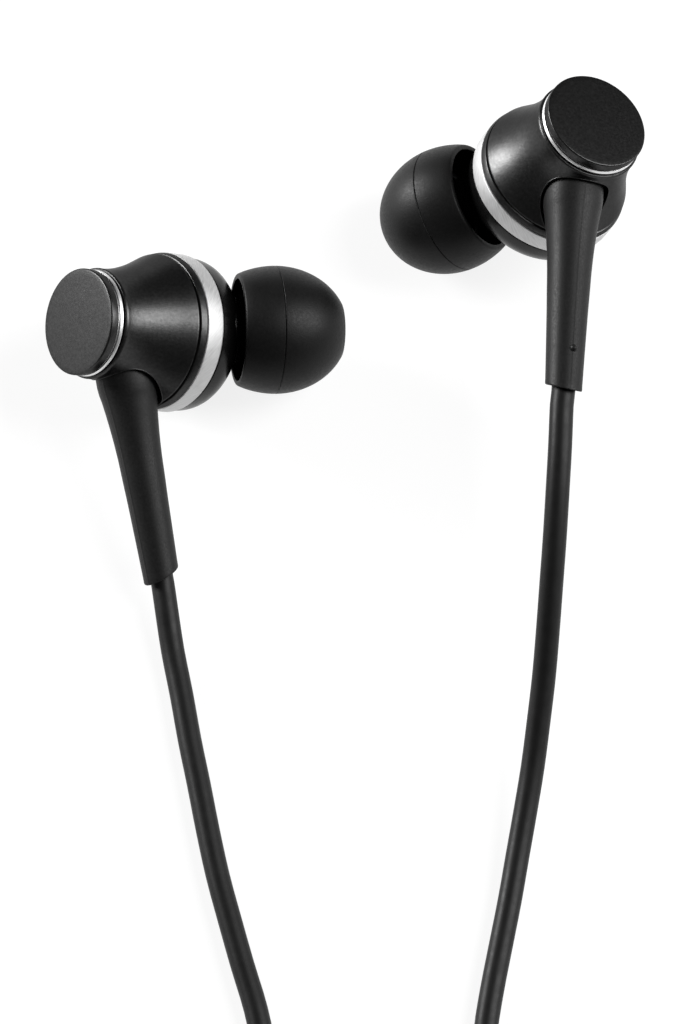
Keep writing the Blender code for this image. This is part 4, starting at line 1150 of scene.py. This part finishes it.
GRIP_START, GRIP_END = RELIEF_END + 0.3, 24.3
GRIP_RADIUS = 3.0
grip = [
    (0, GRIP_START), (GRIP_RADIUS - 0.3, GRIP_START, 0.15), (GRIP_RADIUS, GRIP_START + 0.3, 0.2),
    # A shallow groove runs round it near its front.
    (GRIP_RADIUS, 21.6, 0.1), (2.86, 21.75, 0.05), (2.86, 22.0, 0.05), (GRIP_RADIUS, 22.15, 0.1),
    (GRIP_RADIUS, 23.7, 0.3), (2.65, GRIP_END, 0.2), (0, GRIP_END),
]
plug_pieces = [("plug_relief", "black_elastomer", relief), ("plug_housing", "black_plastic", grip)]
print("the grip is", round(GRIP_END - GRIP_START, 1), "mm long")

# %% Outlines of the contacts
CONTACT_RADIUS = 1.75               # of a 3.5 mm plug
INSULATOR_RADIUS = 0.97 * CONTACT_RADIUS
CONTACT_GAP = 0.15                  # on the measured model
REACH = 0.05                        # each piece reaches this far into that gap, so it barely shows
CONTACTS = (
    # (name, finish, length, radius)
    ("plug_sleeve_contact", "gold_contact", 8.0, CONTACT_RADIUS),
    ("plug_rear_insulator", "black_plastic", 0.75, INSULATOR_RADIUS),
    ("plug_ring_contact", "gold_contact", 2.3, CONTACT_RADIUS),
    ("plug_front_insulator", "black_plastic", 0.75, INSULATOR_RADIUS),
)
at = GRIP_END + CONTACT_GAP
for name, finish, length, radius in CONTACTS:
    start, end = at - REACH, at + length + REACH
    plug_pieces.append((name, finish, [(0, start), (radius, start, 0.05), (radius, end, 0.05), (0, end)]))
    at += length + CONTACT_GAP

TIP_SHAPE = (
    # (share of the contact's radius, distance from the tip's start, easing)
    (0.62, -REACH, 0), (0.62, 0.15, 0.08), (1.0, 0.72, 0.12), (0.78, 1.35, 0.25), (0.35, 1.70, 0.3),
)
tip_corners = [(share * CONTACT_RADIUS, at + ahead, easing) for share, ahead, easing in TIP_SHAPE]
plug_pieces.append(("plug_tip_contact", "gold_contact", [
    (0, tip_corners[0][1]), *tip_corners, (0, tip_corners[-1][1]),
]))
print("the plug is", round(tip_corners[-1][1], 1), "mm long with its relief")

# %% Make the plug
PLUG_STEPS = 64
plug_place = facing(PLUG_AT, -PLUG_HEADING, Vector((0, 0, 1)))
for name, finish, outline in plug_pieces:
    outline = [(radius, -along, *easing) for radius, along, *easing in outline]
    shown = turned(f"{name}_shown", eased(outline), PLUG_STEPS)
    settle(shown, plug_place, finish, name)

# %% [markdown]
# ## Each cord and its line
# Each cord is taken up again with its line; nothing more is set on it here.

for name, cord in cords.items():
    line = cord_lines[name]

# %% [markdown]
# ## Floor and light
# Black things are lit by what they reflect. Two soft panels do that here, a small low one at the left and a
# tall one at the right. They draw soft highlights along the housings and tips and leave the rest dark. The
# floor catches a soft shadow. Its own glow, which only the camera and mirror-like rays see, takes it to paper
# white, so no more light is needed on the object.

# %% Make the floor
FLOOR_REACH = 8                     # metres each way
FLOOR_HEIGHT = -0.2 * MM            # just under the lowest edge of the silver rings
FLOOR_GLOW = 0.84
bm = bmesh.new()
bmesh.ops.create_grid(bm, x_segments=1, y_segments=1, size=FLOOR_REACH)
floor = made_from(bm, "floor")
floor.location.z = FLOOR_HEIGHT
tree, shader = start_finish("floor_white", grey(0.20), 0.95)
rays = add(tree, "LightPath")
seen = rays.outputs["Is Camera Ray"]
for other in ("Is Glossy Ray", "Is Transmission Ray"):
    either = add(tree, "Math", operation="MAXIMUM")
    tree.links.new(seen, either.inputs[0])
    tree.links.new(rays.outputs[other], either.inputs[1])
    seen = either.outputs["Value"]
glow = add(tree, "Math", operation="MULTIPLY")
glow.inputs[1].default_value = FLOOR_GLOW
tree.links.new(seen, glow.inputs[0])
shader.inputs["Emission Color"].default_value = (1, 1, 1, 1)
tree.links.new(glow.outputs["Value"], shader.inputs["Emission Strength"])
floor.data.materials.append(finishes["floor_white"])

# %% Hang the soft panels
PANELS = {
    # name: (degrees from the viewer towards the right, degrees up, distance, width, height, watts)
    "left_panel": (-114, 17, 1.2, 0.46, 0.38, 20),
    "right_panel": (95, 40, 1.2, 0.50, 1.20, 19),
}
for name, (round_by, up_by, distance, width, height, watts) in PANELS.items():
    panel = bpy.data.lights.new(name, "AREA")
    panel.shape = "RECTANGLE"
    panel.size = width
    panel.size_y = height
    panel.energy = watts
    lamp = keep(bpy.data.objects.new(name, panel))
    a, e = radians(round_by), radians(up_by)
    toward = Vector((sin(a) * cos(e), -cos(a) * cos(e), sin(e)))
    lamp.location = toward * distance
    lamp.rotation_euler = toward.to_track_quat("Z", "Y").to_euler()
    print(name, "hangs at", [round(v, 2) for v in lamp.location])

# %% Light the surroundings faintly
WORLD_LEVEL = 0.10
world = bpy.data.worlds.new("studio")
world.use_nodes = True
surroundings = world.node_tree.nodes["Background"]
surroundings.inputs["Color"].default_value = (1, 1, 1, 1)
surroundings.inputs["Strength"].default_value = WORLD_LEVEL
bpy.context.scene.world = world
bpy.context.scene.view_settings.view_transform = "Standard"
print("the surroundings glow at", WORLD_LEVEL)
